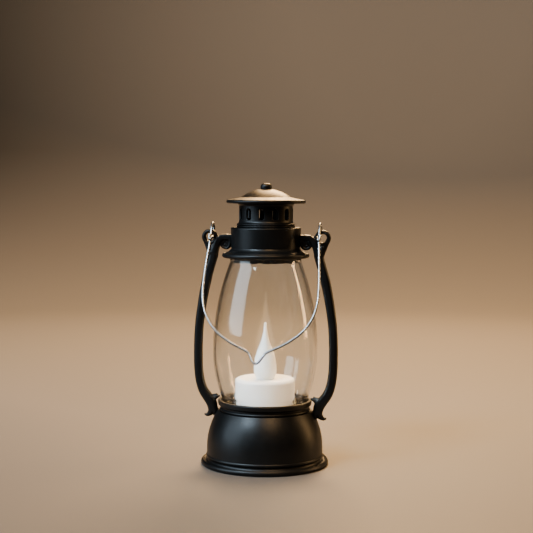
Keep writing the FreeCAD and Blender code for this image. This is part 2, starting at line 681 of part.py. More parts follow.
eye_pad = padded("arm_eye", [
    (f"{EYE_ACROSS} + eye_radius * cos(20 deg)", f"{EYE_MIDDLE} - eye_radius * sin(20 deg)"),
    (f"{EYE_ACROSS} - eye_radius * cos(20 deg)", f"{EYE_MIDDLE} + eye_radius * sin(20 deg)",
     "eye_radius + 0.001"),
    (f"{EYE_ACROSS} - eye_radius", EYE_MIDDLE, "eye_radius"),
    (f"{EYE_ACROSS} - eye_radius - 0.3", f"{EYE_MIDDLE} - 6"),
    ("crown_radius + 8.5", f"{ARM_HEAD} - 2.5"),
    ("crown_radius + 14.1", f"{ARM_HEAD} - 2.5"),
], "arm_thickness")
scroll_pad = padded("arm_scroll", [
    (f"{SCROLL_ACROSS} - scroll_radius", SCROLL_MIDDLE),
    (SCROLL_ACROSS, f"{SCROLL_MIDDLE} - scroll_radius", "scroll_radius"),
    (f"{SCROLL_ACROSS} + scroll_radius * 0.8", f"{SCROLL_MIDDLE} - scroll_radius * 0.6", "scroll_radius"),
    ("crown_radius + 8.5", f"{ARM_HEAD} - 0.5", "-3"),
    ("crown_radius + 10.1", f"{ARM_HEAD} + 6"),
    (f"{SCROLL_ACROSS} + scroll_radius * 0.8", f"{SCROLL_MIDDLE} + scroll_radius"),
    (f"{SCROLL_ACROSS} - scroll_radius", f"{SCROLL_MIDDLE} + scroll_radius"),
], "arm_thickness")
finger_pad = padded("arm_finger", [
    (f"{LIP_RADIUS} + 7.2", f"{COLLAR_TOP} + 6.6"),
    (f"{LIP_RADIUS} + 4.5", f"{COLLAR_TOP} + 1.6", "-8"),
    (f"{LIP_RADIUS} - 0.4", f"{COLLAR_TOP} + 2.3", "-4"),
    (f"{LIP_RADIUS} - 0.8", f"{COLLAR_TOP} - 0.6"),
    (f"{LIP_RADIUS} + 2.8", f"{COLLAR_TOP} - 2.1", "6"),
    (f"{LIP_RADIUS} + 2.7", f"{DOME_TOP} + 1.4"),
    (f"{LIP_RADIUS} + 9.1", f"{DOME_TOP} + 3.0"),
    (f"{LIP_RADIUS} + 11.5", f"{COLLAR_TOP} + 3.4"),
], "arm_thickness")
# The foot's inner side runs inside the dome's wall, so that the dome cuts its seat.
def inside_dome_wall(drop):
    """How far out the middle of the dome's wall is, this far below the dome's top."""
    bend = f"({DOME_BEND} - dome_wall / 2)"
    return f"({CENTRE_ACROSS} + sqrt({bend} ^ 2 - ({SHOULDER_DROP} - {drop}) ^ 2))"


FOOT_LOW_SEAT = inside_dome_wall(6.2)
foot_pad = padded("arm_foot", [
    (FOOT_LOW_SEAT, f"{DOME_TOP} - 6.2"),
    (f"{FOOT_LOW_SEAT} + 3.58", f"{DOME_TOP} - 6.1", "4"),
    (f"{FOOT_LOW_SEAT} + 6.98", f"{DOME_TOP} - 4.2", "3"),
    (f"{FOOT_LOW_SEAT} + 4.28", f"{DOME_TOP} - 0.6", "-4.5"),
    (f"{FOOT_LOW_SEAT} + 5.88", f"{DOME_TOP} + 2.6", "-6"),
    (f"{LIP_RADIUS} + 1.9", f"{DOME_TOP} + 3.0"),
    (f"{LIP_RADIUS} + 0.9", f"{DOME_TOP} - 1"),
    (inside_dome_wall(1.64), f"{DOME_TOP} - 1.64"),
], "arm_thickness")
eye_hole = cylinder("eye_hole", "eye_hole_radius", "2 * arm_thickness", FreeCAD.Placement(
    FreeCAD.Vector(value(EYE_ACROSS), -value("arm_thickness"), value(EYE_MIDDLE)),
    FreeCAD.Rotation(Z_AXIS, FreeCAD.Vector(0, 1, 0))))
arm_stock = join("arm_stock", [arm_bar, eye_pad, scroll_pad, finger_pad, foot_pad])
arm_right = node(cut("arm_right", arm_stock, [
    eye_hole, base_dome, globe_collar, crown,
    *holes("arm_foot_hole", arm_foot_places[:1], "screw_radius", "6"),
    *holes("arm_top_hole", arm_top_places[:1], "screw_radius", "6.5"),
]))
arm_left = doc.addObject("Part::Mirroring", "arm_left")
arm_left.Label = "arm_left"
arm_left.Source = arm_right
arm_left.Normal = FreeCAD.Vector(1, 0, 0)
node(arm_left)
node(screws("arm_foot_screws", arm_foot_places, "6"))
node(screws("arm_top_screws", arm_top_places, "6.5"))

# ---------------------------------------------------------------- bail

# The bail is made hanging straight down from its pivot and then leaned forward on to the globe.
BAIL_PIVOT = f"({EYE_MIDDLE} + (eye_hole_radius + eye_radius) / 2)"
wire = value("bail_wire_radius")
offset = value("bail_loop_offset")
half_width = value(f"{EYE_ACROSS} - 0.2")
length = value("bail_length")


def on_bail(across, drop):
    return FreeCAD.Vector(across, -offset, -drop)


STRAND_CORNERS = (
    # share of the half width, distance above the lowest point, bend radius
    (1.032, 41.0, 40),
    (0.86, 25.2, 26),
    (0.50, 14.2, 45),
    (0.175, 8.4, 2.6),
)
right_side = [(on_bail(half_width * share, length - rise), bend) for share, rise, bend in STRAND_CORNERS]
left_side = [(FreeCAD.Vector(-point.x, point.y, point.z), bend) for point, bend in right_side]
strand_path = bent_path([
    (on_bail(-half_width, 0), 0),
    *left_side,
    (on_bail(0, length), 1.9),
    *reversed(right_side),
    (on_bail(half_width, 0), 0),
])


def bail_loop(across):
    """Closed eye that goes over the ring's top bar and through its hole."""
    top = value("bail_loop_rise") - offset
    corners = [FreeCAD.Vector(across, -offset, 0), FreeCAD.Vector(across, -offset, top),
               FreeCAD.Vector(across, offset, top), FreeCAD.Vector(across, offset, 0)]
    over = Part.Arc(corners[1], FreeCAD.Vector(across, 0, top + offset), corners[2])
    under = Part.Arc(corners[3], FreeCAD.Vector(across, 0, -offset), corners[0])
    path = Part.Wire([Part.LineSegment(corners[0], corners[1]).toShape(), over.toShape(),
                      Part.LineSegment(corners[2], corners[3]).toShape(), under.toShape()])
    return swept_rod(path, wire)


def wrapped_end(across):
    """Turns of the wire's end round the strand below the eye."""
    turns = []
    for turn in range(2):
        middle = FreeCAD.Vector(across, -offset, -offset * 1.9 - 2 * wire * turn)
        turns.append(Part.makeTorus(1.9 * wire, wire * 1.05, middle, Z_AXIS))
    return turns


def lean_angle():
    """Turn from hanging straight down that lays the wire's shoulders on the globe."""
    share, rise, _ = STRAND_CORNERS[-1]
    drop = length - rise
    swing = math.hypot(drop, offset)
    glass = value("globe_radius")
    # The globe narrows upwards, so the height where the wire touches it is found step by step.
    for _ in range(4):
        reach = math.sqrt((glass + value("bail_clearance") + wire) ** 2 - (half_width * share) ** 2)
        touch = value(BAIL_PIVOT) - math.sqrt(swing ** 2 - reach ** 2)
        glass = value(f"globe_radius - {SHOULDER_BEND} + sqrt({SHOULDER_BEND} ^ 2 - ({touch} - {BELLY}) ^ 2)")
    return math.degrees(math.atan2(drop, offset) - math.acos(reach / swing))


pieces = [swept_rod(strand_path, wire)]
for across in (-half_width, half_width):
    pieces.append(bail_loop(across))
    pieces.extend(wrapped_end(across))
bail = doc.addObject("Part::Feature", "bail_wire")
bail.Label = "bail_wire"
bail.Shape = pieces[0].multiFuse(pieces[1:])
bail.Placement = FreeCAD.Placement(FreeCAD.Vector(0, 0, value(BAIL_PIVOT)),
                                   FreeCAD.Rotation(FreeCAD.Vector(-1, 0, 0), lean_angle()))
node(bail)

# ---------------------------------------------------------------- candle carrier

PEDESTAL_FOOT_RADIUS = "(pedestal_radius + 9)"
PEDESTAL_TOP = f"({TRAY_FLOOR} - tray_thickness)"
PLATE_RADIUS = f"({FOOT_OPENING} - plate_clearance)"
pedestal_places = ring_of_places("pedestal_radius + 5", "screw_head_height", 90)
plate_blank = turned("plate_blank", [
    ("0", "0"),
    (f"{PLATE_RADIUS} - 0.5", "0"),
    (PLATE_RADIUS, "0.5"),
    (PLATE_RADIUS, "plate_thickness"),
    ("0", "plate_thickness"),
])
node(cut("bottom_plate", plate_blank,
         holes("plate_shank_hole", pedestal_places, "screw_radius", "plate_thickness")
         + holes("plate_head_hole", pedestal_places, "screw_head_radius + fit_clearance",
                 "screw_head_height", "screw_head_height")))
pedestal_blank = turned("pedestal_blank", [
    ("pedestal_radius - pedestal_wall", "plate_thickness"),
    (PEDESTAL_FOOT_RADIUS, "plate_thickness"),
    (PEDESTAL_FOOT_RADIUS, "plate_thickness + 2"),
    ("pedestal_radius + 2", "plate_thickness + 2"),
    ("pedestal_radius", "plate_thickness + 4", "-2"),
    ("pedestal_radius", f"{PEDESTAL_TOP} - 3"),
    ("pedestal_radius + 3", PEDESTAL_TOP, "-4"),
    ("screw_radius", PEDESTAL_TOP),
    ("screw_radius", f"{PEDESTAL_TOP} - 5"),
    ("pedestal_radius - pedestal_wall", f"{PEDESTAL_TOP} - 5"),
])
node(cut("pedestal", pedestal_blank, holes("pedestal_hole", pedestal_places, "screw_radius", "5")))
node(screws("pedestal_screws", pedestal_places, "plate_thickness + 2 - screw_head_height"))
node(turned("candle_tray", [
    ("screw_radius", PEDESTAL_TOP),
    (f"{TRAY_RADIUS} - 0.8", PEDESTAL_TOP),
    (TRAY_RADIUS, f"{PEDESTAL_TOP} + 0.8", "0.8"),
    (TRAY_RADIUS, f"{TRAY_FLOOR} + tray_rim_height - 0.4"),
    (f"{TRAY_RADIUS} - 0.4", f"{TRAY_FLOOR} + tray_rim_height", "0.4"),
    (f"{TRAY_INNER} + 0.3", f"{TRAY_FLOOR} + tray_rim_height"),
    (TRAY_INNER, f"{TRAY_FLOOR} + tray_rim_height - 0.3"),
    (TRAY_INNER, TRAY_FLOOR),
    ("screw_head_radius + 0.3", TRAY_FLOOR),
    ("screw_head_radius + 0.3", f"{PEDESTAL_TOP} + 0.4"),
    ("screw_radius", f"{PEDESTAL_TOP} + 0.4"),
]))
tray_place = FreeCAD.Placement(FreeCAD.Vector(0, 0, value(f"{PEDESTAL_TOP} + 0.4")),
                               FreeCAD.Rotation(FreeCAD.Vector(1, 0, 0), 180))
node(screws("tray_screw", [tray_place], "5"))

# ---------------------------------------------------------------- candle

CELL_FOOT = f"({TRAY_FLOOR} + door_thickness + 1.6)"
BASE_TOP = f"({TRAY_FLOOR} + 1.8)"
POCKET_RADIUS = "(cell_radius + cell_clearance)"
DOOR_RADIUS = "(cell_radius + door_flange)"
INNER_CANDLE = "(candle_radius - candle_wall)"
FLAME_SEAT = f"({CANDLE_TOP} - candle_dish_depth)"
node(turned("tealight_shell", [
    (INNER_CANDLE, TRAY_FLOOR),
    ("candle_radius - 0.4", TRAY_FLOOR),
    ("candle_radius", f"{TRAY_FLOOR} + 0.4"),
    ("candle_radius", f"{CANDLE_TOP} - 2.4"),
    ("candle_radius - 2.4", CANDLE_TOP, "2.4"),
    ("candle_radius - 3.6", CANDLE_TOP),
    ("flame_spigot_radius + 2", FLAME_SEAT, "-60"),
    ("flame_spigot_radius + fit_clearance", FLAME_SEAT),
    ("flame_spigot_radius + fit_clearance", f"{FLAME_SEAT} - candle_wall"),
    (f"{INNER_CANDLE} - 1", f"{FLAME_SEAT} - candle_wall"),
    (INNER_CANDLE, f"{FLAME_SEAT} - candle_wall - 1", "-1"),
]))
FLAME_TIP = f"({FLAME_SEAT} + flame_height)"
CAVITY = "(flame_spigot_radius - flame_wall)"
node(turned("flame", [
    (CAVITY, f"{FLAME_SEAT} - 2.6"),
    ("flame_spigot_radius", f"{FLAME_SEAT} - 2.6"),
    ("flame_spigot_radius", FLAME_SEAT),
    ("flame_spigot_radius + 0.4", FLAME_SEAT),
    ("flame_radius", f"{FLAME_SEAT} + 6.8", "12"),
    ("flame_radius * 0.5", f"{FLAME_TIP} - 15", "34"),
    ("0.8", f"{FLAME_TIP} - 1.2", "-42"),
    (POLE, FLAME_TIP, "1.6"),
    ("0", FLAME_TIP),
    ("0", f"{FLAME_SEAT} + 16"),
    (POLE, f"{FLAME_SEAT} + 16"),
    (CAVITY, f"{FLAME_SEAT} + 8", "-12"),
]))
LED_FOOT = f"({FLAME_SEAT} - 1)"
led_body = turned("led_lens", [
    ("0", LED_FOOT),
    ("led_radius + 0.4", LED_FOOT),
    ("led_radius + 0.4", f"{LED_FOOT} + 1"),
    ("led_radius", f"{LED_FOOT} + 1"),
    ("led_radius", f"{LED_FOOT} + 6"),
    (POLE, f"{LED_FOOT} + 6 + led_radius", "led_radius + 0.001"),
    ("0", f"{LED_FOOT} + 6 + led_radius"),
])
BOARD_TOP = f"({BOARD_FOOT} + board_thickness)"
led_leads = [box(f"led_lead_{index + 1}", ("0.5", "0.5", f"{LED_FOOT} - {BOARD_TOP} + 0.5"),
                 (across, "-0.25", BOARD_TOP)) for index, across in enumerate(("-1.52", "1.02"))]
node(join("led", [led_body, *led_leads]))
node(turned("circuit_board", [
    ("0", BOARD_FOOT),
    ("board_radius", BOARD_FOOT),
    ("board_radius", BOARD_TOP),
    ("0", BOARD_TOP),
]))
CELL_CHAMFER = "0.3"
node(turned("coin_cell", [
    ("0", CELL_FOOT),
    (f"cell_radius - {CELL_CHAMFER}", CELL_FOOT),
    ("cell_radius", f"{CELL_FOOT} + {CELL_CHAMFER}"),
    ("cell_radius", f"{CELL_FOOT} + cell_thickness - {CELL_CHAMFER}"),
    (f"cell_radius - {CELL_CHAMFER}", f"{CELL_FOOT} + cell_thickness"),
    ("0", f"{CELL_FOOT} + cell_thickness"),
]))
CELL_TOP = f"({CELL_FOOT} + cell_thickness)"
spring_post = box("negative_post", ("1", "4", f"{BOARD_FOOT} - {CELL_TOP}"), ("-6", "-2", CELL_TOP))
spring_leaf = box("negative_leaf", ("9", "4", "0.3"), ("-6", "-2", CELL_TOP))
node(join("negative_contact", [spring_post, spring_leaf]))
node(box("positive_contact", ("0.4", "4", f"{BOARD_FOOT} - {CELL_FOOT} - 0.5"),
         ("-cell_radius - 0.45", "-2", f"{CELL_FOOT} + 0.5")))

SWITCH_ALONG = "(cell_radius + 4.4)"
KNOB_WIDTH = "1.4"
KNOB_LENGTH = "1.8"
LUG_FOOT = f"({BASE_TOP} + 0.05)"
LUG_HEIGHT = "0.6"
base_blank = turned("tealight_base_blank", [
    (f"{DOOR_RADIUS} + door_clearance", TRAY_FLOOR),
    (f"{INNER_CANDLE} - fit_clearance", TRAY_FLOOR),
    (f"{INNER_CANDLE} - fit_clearance", BASE_TOP),
    (f"{POCKET_RADIUS} + lug_reach + 0.9", BASE_TOP),
    (f"{POCKET_RADIUS} + lug_reach + 0.9", f"{CELL_TOP} - 0.6"),
    (POCKET_RADIUS, f"{CELL_TOP} - 0.6"),
    (POCKET_RADIUS, f"{LUG_FOOT} + {LUG_HEIGHT} + 0.1"),
    (f"{POCKET_RADIUS} + lug_reach + 0.1", f"{LUG_FOOT} + {LUG_HEIGHT} + 0.1"),
    (f"{POCKET_RADIUS} + lug_reach + 0.1", BASE_TOP),
    (POCKET_RADIUS, BASE_TOP),
    (POCKET_RADIUS, f"{TRAY_FLOOR} + door_thickness + 0.1"),
    (f"{DOOR_RADIUS} + door_clearance", f"{TRAY_FLOOR} + door_thickness + 0.1"),
])
switch_slot = box("switch_slot", (f"{KNOB_LENGTH} + switch_travel + 0.4", f"{KNOB_WIDTH} + 0.4", "4"),
                  (f"-({KNOB_LENGTH} + switch_travel + 0.4) / 2",
                   f"{SWITCH_ALONG} - {KNOB_WIDTH} / 2 - 0.2", f"{TRAY_FLOOR} - 1"))
strip_slot = box("strip_slot", ("1.2", "4.6", "cell_thickness + 1"),
                 (f"-{POCKET_RADIUS} - 0.4", "-2.3", f"{CELL_FOOT} + 0.4"))
LUG_WIDTH = 5.0
ENTRY_TURN = 30.0
entries = [box(f"lug_entry_{index + 1}", (f"{POCKET_RADIUS} + lug_reach + 0.1", f"{LUG_WIDTH} + 0.6", "3"),
               ("0", f"-{LUG_WIDTH} / 2 - 0.3", f"{TRAY_FLOOR} + door_thickness + 0.1"),
               90 + ENTRY_TURN + 180 * index) for index in range(2)]
node(cut("tealight_base", base_blank, [switch_slot, strip_slot, *entries]))
door_disc = turned("door_disc", [
    ("0", TRAY_FLOOR),
    (DOOR_RADIUS, TRAY_FLOOR),
    (DOOR_RADIUS, f"{TRAY_FLOOR} + door_thickness"),
    ("cell_radius", f"{TRAY_FLOOR} + door_thickness"),
    ("cell_radius", f"{CELL_FOOT} - 0.05"),
    ("0", f"{CELL_FOOT} - 0.05"),
])
lug_bars = []
for index in range(2):
    lug_bars.append(box(f"door_lug_{index + 1}",
                        ("cell_radius + lug_reach", f"{LUG_WIDTH}", LUG_HEIGHT),
                        ("0", f"-{LUG_WIDTH} / 2", LUG_FOOT), 90 + 180 * index))
lug_limit = cylinder("lug_limit", "cell_radius + lug_reach + 0.2", CANDLE_TOP)
lug_trim = doc.addObject("Part::Common", "lug_trim")
lug_trim.Base = join("door_lugs", lug_bars)
lug_trim.Tool = lug_limit
coin_slot = box("coin_slot", ("14", "1.8", "1.6"), ("-7", "-0.9", f"{TRAY_FLOOR} - 1"))
node(cut("battery_door", join("door_blank", [door_disc, lug_trim]), [coin_slot]))

HOUSING_FOOT = f"({BASE_TOP} + 0.2)"
housing_block = box("housing_block", ("8.5", "3.6", f"{BOARD_FOOT} - {HOUSING_FOOT}"),
                    ("-4.25", f"{SWITCH_ALONG} - 1.8", HOUSING_FOOT))
housing_slot = box("housing_slot", (f"{KNOB_LENGTH} + switch_travel + 0.2", f"{KNOB_WIDTH} + 0.2", "2"),
                   (f"-({KNOB_LENGTH} + switch_travel + 0.2) / 2",
                    f"{SWITCH_ALONG} - {KNOB_WIDTH} / 2 - 0.1", HOUSING_FOOT))
node(cut("switch_housing", housing_block, [housing_slot]))
node(box("switch_knob", (KNOB_LENGTH, KNOB_WIDTH, f"{HOUSING_FOOT} + 1.9 - {TRAY_FLOOR} - 0.4"),
         (f"-({KNOB_LENGTH} + switch_travel) / 2", f"{SWITCH_ALONG} - {KNOB_WIDTH} / 2",
          f"{TRAY_FLOOR} + 0.4")))

# ---------------------------------------------------------------- check and write

doc.recompute()
failed = [item.Name for item in doc.Objects if {"Invalid", "Error"} & set(item.State)]
if failed:
    raise RuntimeError("objects failed to build: " + ", ".join(failed))
for item in nodes:
    if item.Shape.isNull() or not item.Shape.isValid() or not item.Shape.Solids:
        raise RuntimeError("no valid solid in " + item.Label)

os.makedirs("parts", exist_ok=True)
for item in nodes:
    item.Shape.exportStep(f"parts/{item.Label}.step")
print(f"{len(nodes)} parts written")
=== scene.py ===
"""Hurricane candle lantern: castings, glass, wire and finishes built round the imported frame.

Everything is in metres, +Z up. The arms stand along X and the bail hangs in front, at -Y.
"""

import json
import math

import bpy
from bpy.props import FloatProperty, FloatVectorProperty, PointerProperty
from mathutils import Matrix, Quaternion, Vector


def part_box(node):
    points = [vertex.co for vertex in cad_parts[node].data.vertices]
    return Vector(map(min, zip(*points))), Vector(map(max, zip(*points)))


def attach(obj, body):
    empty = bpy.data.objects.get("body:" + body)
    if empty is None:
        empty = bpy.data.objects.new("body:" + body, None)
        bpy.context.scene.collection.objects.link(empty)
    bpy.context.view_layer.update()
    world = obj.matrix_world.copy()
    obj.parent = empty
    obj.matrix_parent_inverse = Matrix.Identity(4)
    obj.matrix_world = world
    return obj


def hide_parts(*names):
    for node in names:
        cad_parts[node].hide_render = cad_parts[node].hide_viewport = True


bl_info = {
    "name": "Hurricane candle lantern",
    "version": (1, 0, 0),
    "blender": (4, 5, 0),
    "location": "View3D > Sidebar > Lantern",
    "description": "Builds the lantern's castings, globe, bail and finishes round its frame",
    "category": "Add Mesh",
}

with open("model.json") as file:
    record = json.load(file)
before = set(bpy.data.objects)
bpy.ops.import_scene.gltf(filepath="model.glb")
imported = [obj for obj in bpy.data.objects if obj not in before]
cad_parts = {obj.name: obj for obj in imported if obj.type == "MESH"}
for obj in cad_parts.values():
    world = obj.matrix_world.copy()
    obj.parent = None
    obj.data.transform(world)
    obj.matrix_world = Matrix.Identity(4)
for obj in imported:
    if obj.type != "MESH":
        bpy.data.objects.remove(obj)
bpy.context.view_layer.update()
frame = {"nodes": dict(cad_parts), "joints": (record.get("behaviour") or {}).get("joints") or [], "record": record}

MM = 0.001


def reach_of(node):
    """How far a node reaches along +X."""
    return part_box(node)[1].x


def top_of(node):
    """Height of a node's top."""
    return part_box(node)[1].z


def foot_of(node):
    """Height of a node's underside."""
    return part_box(node)[0].z


# ---------------------------------------------------------------- settings

class LanternSizes(bpy.types.PropertyGroup):
    """Sizes that the pieces made here need besides the frame's own."""
    glass_wall: FloatProperty(
        name="Glass wall", description="Thickness of the globe's glass",
        default=0.0018, unit="LENGTH", precision=5)
    glass_seat: FloatProperty(
        name="Globe seat", description="Radius of the globe where it stands in the collar",
        default=0.0259, unit="LENGTH", precision=5)
    glass_neck: FloatProperty(
        name="Globe neck", description="Radius of the globe under the crown",
        default=0.0226, unit="LENGTH", precision=5)
    belly_height: FloatProperty(
        name="Belly height", description="Height of the globe's widest place above its foot",
        default=0.0345, unit="LENGTH", precision=5)
    neck_length: FloatProperty(
        name="Neck length", description="Length of the globe's straight neck",
        default=0.0022, unit="LENGTH", precision=5)
    vent_width: FloatProperty(
        name="Vent width", description="Width of a vent inside its flared mouth",
        default=0.0034, unit="LENGTH", precision=5)
    vent_length: FloatProperty(
        name="Vent length", description="Height of a vent inside its flared mouth",
        default=0.0070, unit="LENGTH", precision=5)
    wire_radius: FloatProperty(
        name="Wire radius", description="Radius of the bail's wire",
        default=0.0008, unit="LENGTH", precision=5)
    bail_length: FloatProperty(
        name="Bail length", description="From the bail's pivot to the bottom of its bend",
        default=0.087, unit="LENGTH", precision=5)
    arm_thickness: FloatProperty(
        name="Arm thickness", description="Thickness of a cast arm from front to back",
        default=0.0048, unit="LENGTH", precision=5)
    casting_grain: FloatProperty(
        name="Casting mesh", description="Edge length of the mesh that blends an arm's strokes",
        default=0.00022, unit="LENGTH", precision=5)


class LanternColours(bpy.types.PropertyGroup):
    """Colours of the finishes and of the stage."""
    enamel: FloatVectorProperty(
        name="Enamel", description="Satin black enamel on the castings",
        default=(0.0045, 0.0052, 0.0058), subtype="COLOR", min=0, max=1)
    wire: FloatVectorProperty(
        name="Wire", description="Bright galvanised wire",
        default=(0.40, 0.42, 0.44), subtype="COLOR", min=0, max=1)
    candle: FloatVectorProperty(
        name="Candle", description="White plastic of the tealight's body",
        default=(0.82, 0.81, 0.79), subtype="COLOR", min=0, max=1)
    flame: FloatVectorProperty(
        name="Flame", description="Frosted plastic of the flame",
        default=(0.80, 0.82, 0.81), subtype="COLOR", min=0, max=1)
    floor: FloatVectorProperty(
        name="Floor", description="Plain floor",
        default=(0.20, 0.185, 0.17), subtype="COLOR", min=0, max=1)
    backdrop: FloatVectorProperty(
        name="Backdrop", description="Plain wall behind the floor",
        default=(0.24, 0.215, 0.185), subtype="COLOR", min=0, max=1)
    cool_light: FloatVectorProperty(
        name="Cool light", description="Light from the left",
        default=(0.70, 0.86, 1.0), subtype="COLOR", min=0, max=1)
    warm_light: FloatVectorProperty(
        name="Warm light", description="Light from above and from the right",
        default=(1.0, 0.64, 0.32), subtype="COLOR", min=0, max=1)


# ---------------------------------------------------------------- shader building

class Signal:
    """One output of a finish's nodes; arithmetic on it adds Math nodes."""

    def __init__(self, recipe, socket):
        self.recipe = recipe
        self.socket = socket

    def maths(self, operation, *values):
        return self.recipe.node("ShaderNodeMath", {"operation": operation}, dict(enumerate(values)))

    def __add__(self, other):
        return self.maths("ADD", self, other)

    def __sub__(self, other):
        return self.maths("SUBTRACT", self, other)

    def __mul__(self, other):
        return self.maths("MULTIPLY", self, other)

    def sibling(self, output):
        """Another output of the same node."""
        return Signal(self.recipe, self.socket.node.outputs[output])

    __radd__ = __add__


class Recipe:
    """A material under construction."""

    def __init__(self, name):
        self.material = bpy.data.materials.new(name + "_finish")
        self.material.use_nodes = True
        self.tree = self.material.node_tree
        self.tree.nodes.clear()
        self.colours = bpy.context.scene.lantern_colours

    def node(self, kind, settings=None, sockets=None, output=0):
        """Add a node: its settings first, then the values or links of its sockets."""
        made = self.tree.nodes.new(kind)
        for name, value in (settings or {}).items():
            setattr(made, name, value)
        for name, value in (sockets or {}).items():
            if isinstance(value, Signal):
                self.tree.links.new(value.socket, made.inputs[name])
            else:
                made.inputs[name].default_value = value
        return Signal(self, made.outputs[output])

    def place(self, stretch=(1.0, 1.0, 1.0)):
        """Object coordinates, stretched."""
        where = self.node("ShaderNodeTexCoord", output="Object")
        if stretch == (1.0, 1.0, 1.0):
            return where
        return self.node("ShaderNodeMapping", {}, {"Vector": where, "Scale": stretch})

    def noise(self, where, size, detail=3.0, roughness=0.55):
        """Cloudy noise from 0 to 1 whose patches are about this size in metres."""
        return self.node("ShaderNodeTexNoise", {},
                         {"Vector": where, "Scale": 1 / size, "Detail": detail, "Roughness": roughness})

    def between(self, signal, low, high, new_low=0.0, new_high=1.0):
        """Stretch the part of a signal from low to high over a new range."""
        return self.node("ShaderNodeMapRange", {"clamp": True}, {
            "Value": signal, "From Min": low, "From Max": high, "To Min": new_low, "To Max": new_high})

    def blend(self, share, colour, other):
        """Mix two colours."""
        return self.node("ShaderNodeMix", {"data_type": "RGBA"},
                         {"Factor": share, 6: solid(colour), 7: solid(other)}, output=2)

    def bump(self, height, distance, strength=1.0):
        """A surface whose height varies by this distance."""
        return self.node("ShaderNodeBump", {}, {"Height": height, "Distance": distance, "Strength": strength})

    def surface(self, **sockets):
        """Finish with a Principled shader; underscores stand for spaces."""
        named = {name.replace("_", " "): solid(value) if name.endswith(("Color", "Tint")) else value
                 for name, value in sockets.items()}
        shader = self.node("ShaderNodeBsdfPrincipled", {}, named)
        return self.finish(shader)

    def finish(self, shader):
        """Send a shader to the material's surface and hand the material over."""
        end = self.tree.nodes.new("ShaderNodeOutputMaterial")
        self.tree.links.new(shader.socket, end.inputs["Surface"])
        return self.material


def solid(value):
    """A colour with its alpha, or the value itself."""
    if isinstance(value, (Signal, float, int, str)):
        return value
    return (*value, 1.0) if len(value) == 3 else tuple(value)


# ---------------------------------------------------------------- finishes

def black_enamel():
    """Satin powder enamel: a fine pebbled grain, softly clouded gloss and a few dust specks."""
    mix = Recipe("black_enamel")
    where = mix.place()
    clouds = mix.noise(where, 0.012, 2.0)
    grain = mix.noise(where, 0.00055, 2.0, 0.6)
    specks = mix.node("ShaderNodeTexVoronoi", {}, {"Vector": where, "Scale": 1 / 0.0042, "Randomness": 1.0},
                      output="Distance")
    lot = mix.node("ShaderNodeSeparateColor", {}, {"Color": specks.sibling("Color")})
    dust = mix.between(specks, 0.045, 0.025) * mix.between(lot, 0.72, 0.74)
    paler = tuple(1.35 * part for part in mix.colours.enamel)
    base = mix.blend(mix.between(clouds, 0.3, 0.7), tuple(mix.colours.enamel), paler)
    base = mix.blend(dust * 0.35, base, (0.16, 0.16, 0.155))
    gloss = mix.between(clouds, 0.3, 0.7, 0.36, 0.43) + (grain - 0.5) * 0.12
    skin = mix.bump(grain + dust * 0.6, 0.00006, 0.6)
    return mix.surface(Base_Color=base, Roughness=gloss, Normal=skin, IOR=1.46)


def clear_glass():
    """Blown glass with faint upright smears, lit through for lamps."""
    mix = Recipe("clear_glass")
    upright = mix.place((1.0, 1.0, 0.07))
    smears = mix.noise(upright, 0.0022, 4.0, 0.6)
    mist = mix.noise(mix.place((1.0, 1.0, 0.35)), 0.016, 3.0, 0.6)
    film = mix.between(smears * mist, 0.22, 0.36, 0.0, 0.12)
    waves = mix.noise(mix.place((1.0, 1.0, 0.2)), 0.011, 1.0)
    glass = mix.node("ShaderNodeBsdfPrincipled", {}, {
        "Base Color": (0.97, 0.98, 0.98, 1.0), "Roughness": film, "IOR": 1.5, "Transmission Weight": 1.0,
        "Normal": mix.bump(waves + smears * 0.3, 0.00016, 0.5)})
    clear = mix.node("ShaderNodeBsdfTransparent", {}, {"Color": (0.93, 0.94, 0.94, 1.0)})
    shadow = mix.node("ShaderNodeLightPath", output="Is Shadow Ray")
    return mix.finish(mix.node("ShaderNodeMixShader", {}, {0: shadow, 1: glass, 2: clear}))


def bright_wire():
    """Galvanised steel wire with drawn streaks and dull patches."""
    mix = Recipe("bright_wire")
    where = mix.place()
    patches = mix.noise(where, 0.004, 3.0)
    pits = mix.noise(where, 0.0004, 2.0)
    duller = tuple(0.72 * part for part in mix.colours.wire)
    base = mix.blend(mix.between(patches, 0.35, 0.65), tuple(mix.colours.wire), duller)
    gloss = mix.between(patches, 0.3, 0.7, 0.22, 0.36) + (pits - 0.5) * 0.1
    return mix.surface(Base_Color=base, Metallic=1.0, Roughness=gloss, Normal=mix.bump(pits, 0.00002, 0.4))


def gasket_rubber():
    """Dull rubber cord with a fibrous, dusty skin."""
    mix = Recipe("gasket_rubber")
    where = mix.place()
    fibres = mix.noise(where, 0.0009, 4.0, 0.65)
    base = mix.blend(mix.between(fibres, 0.35, 0.7), (0.012, 0.011, 0.010), (0.070, 0.060, 0.050))
    return mix.surface(Base_Color=base, Roughness=0.8 + fibres * 0.12, Normal=mix.bump(fibres, 0.0003, 0.8))


def plated_steel():
    """Zinc plating with turning marks."""
    mix = Recipe("plated_steel")
    where = mix.place()
    marks = mix.noise(where, 0.0005, 2.0)
    base = mix.blend(mix.between(marks, 0.3, 0.7), (0.56, 0.57, 0.58), (0.44, 0.45, 0.47))
    return mix.surface(Base_Color=base, Metallic=1.0, Roughness=0.26 + marks * 0.18,
                       Normal=mix.bump(marks, 0.00004, 0.5))


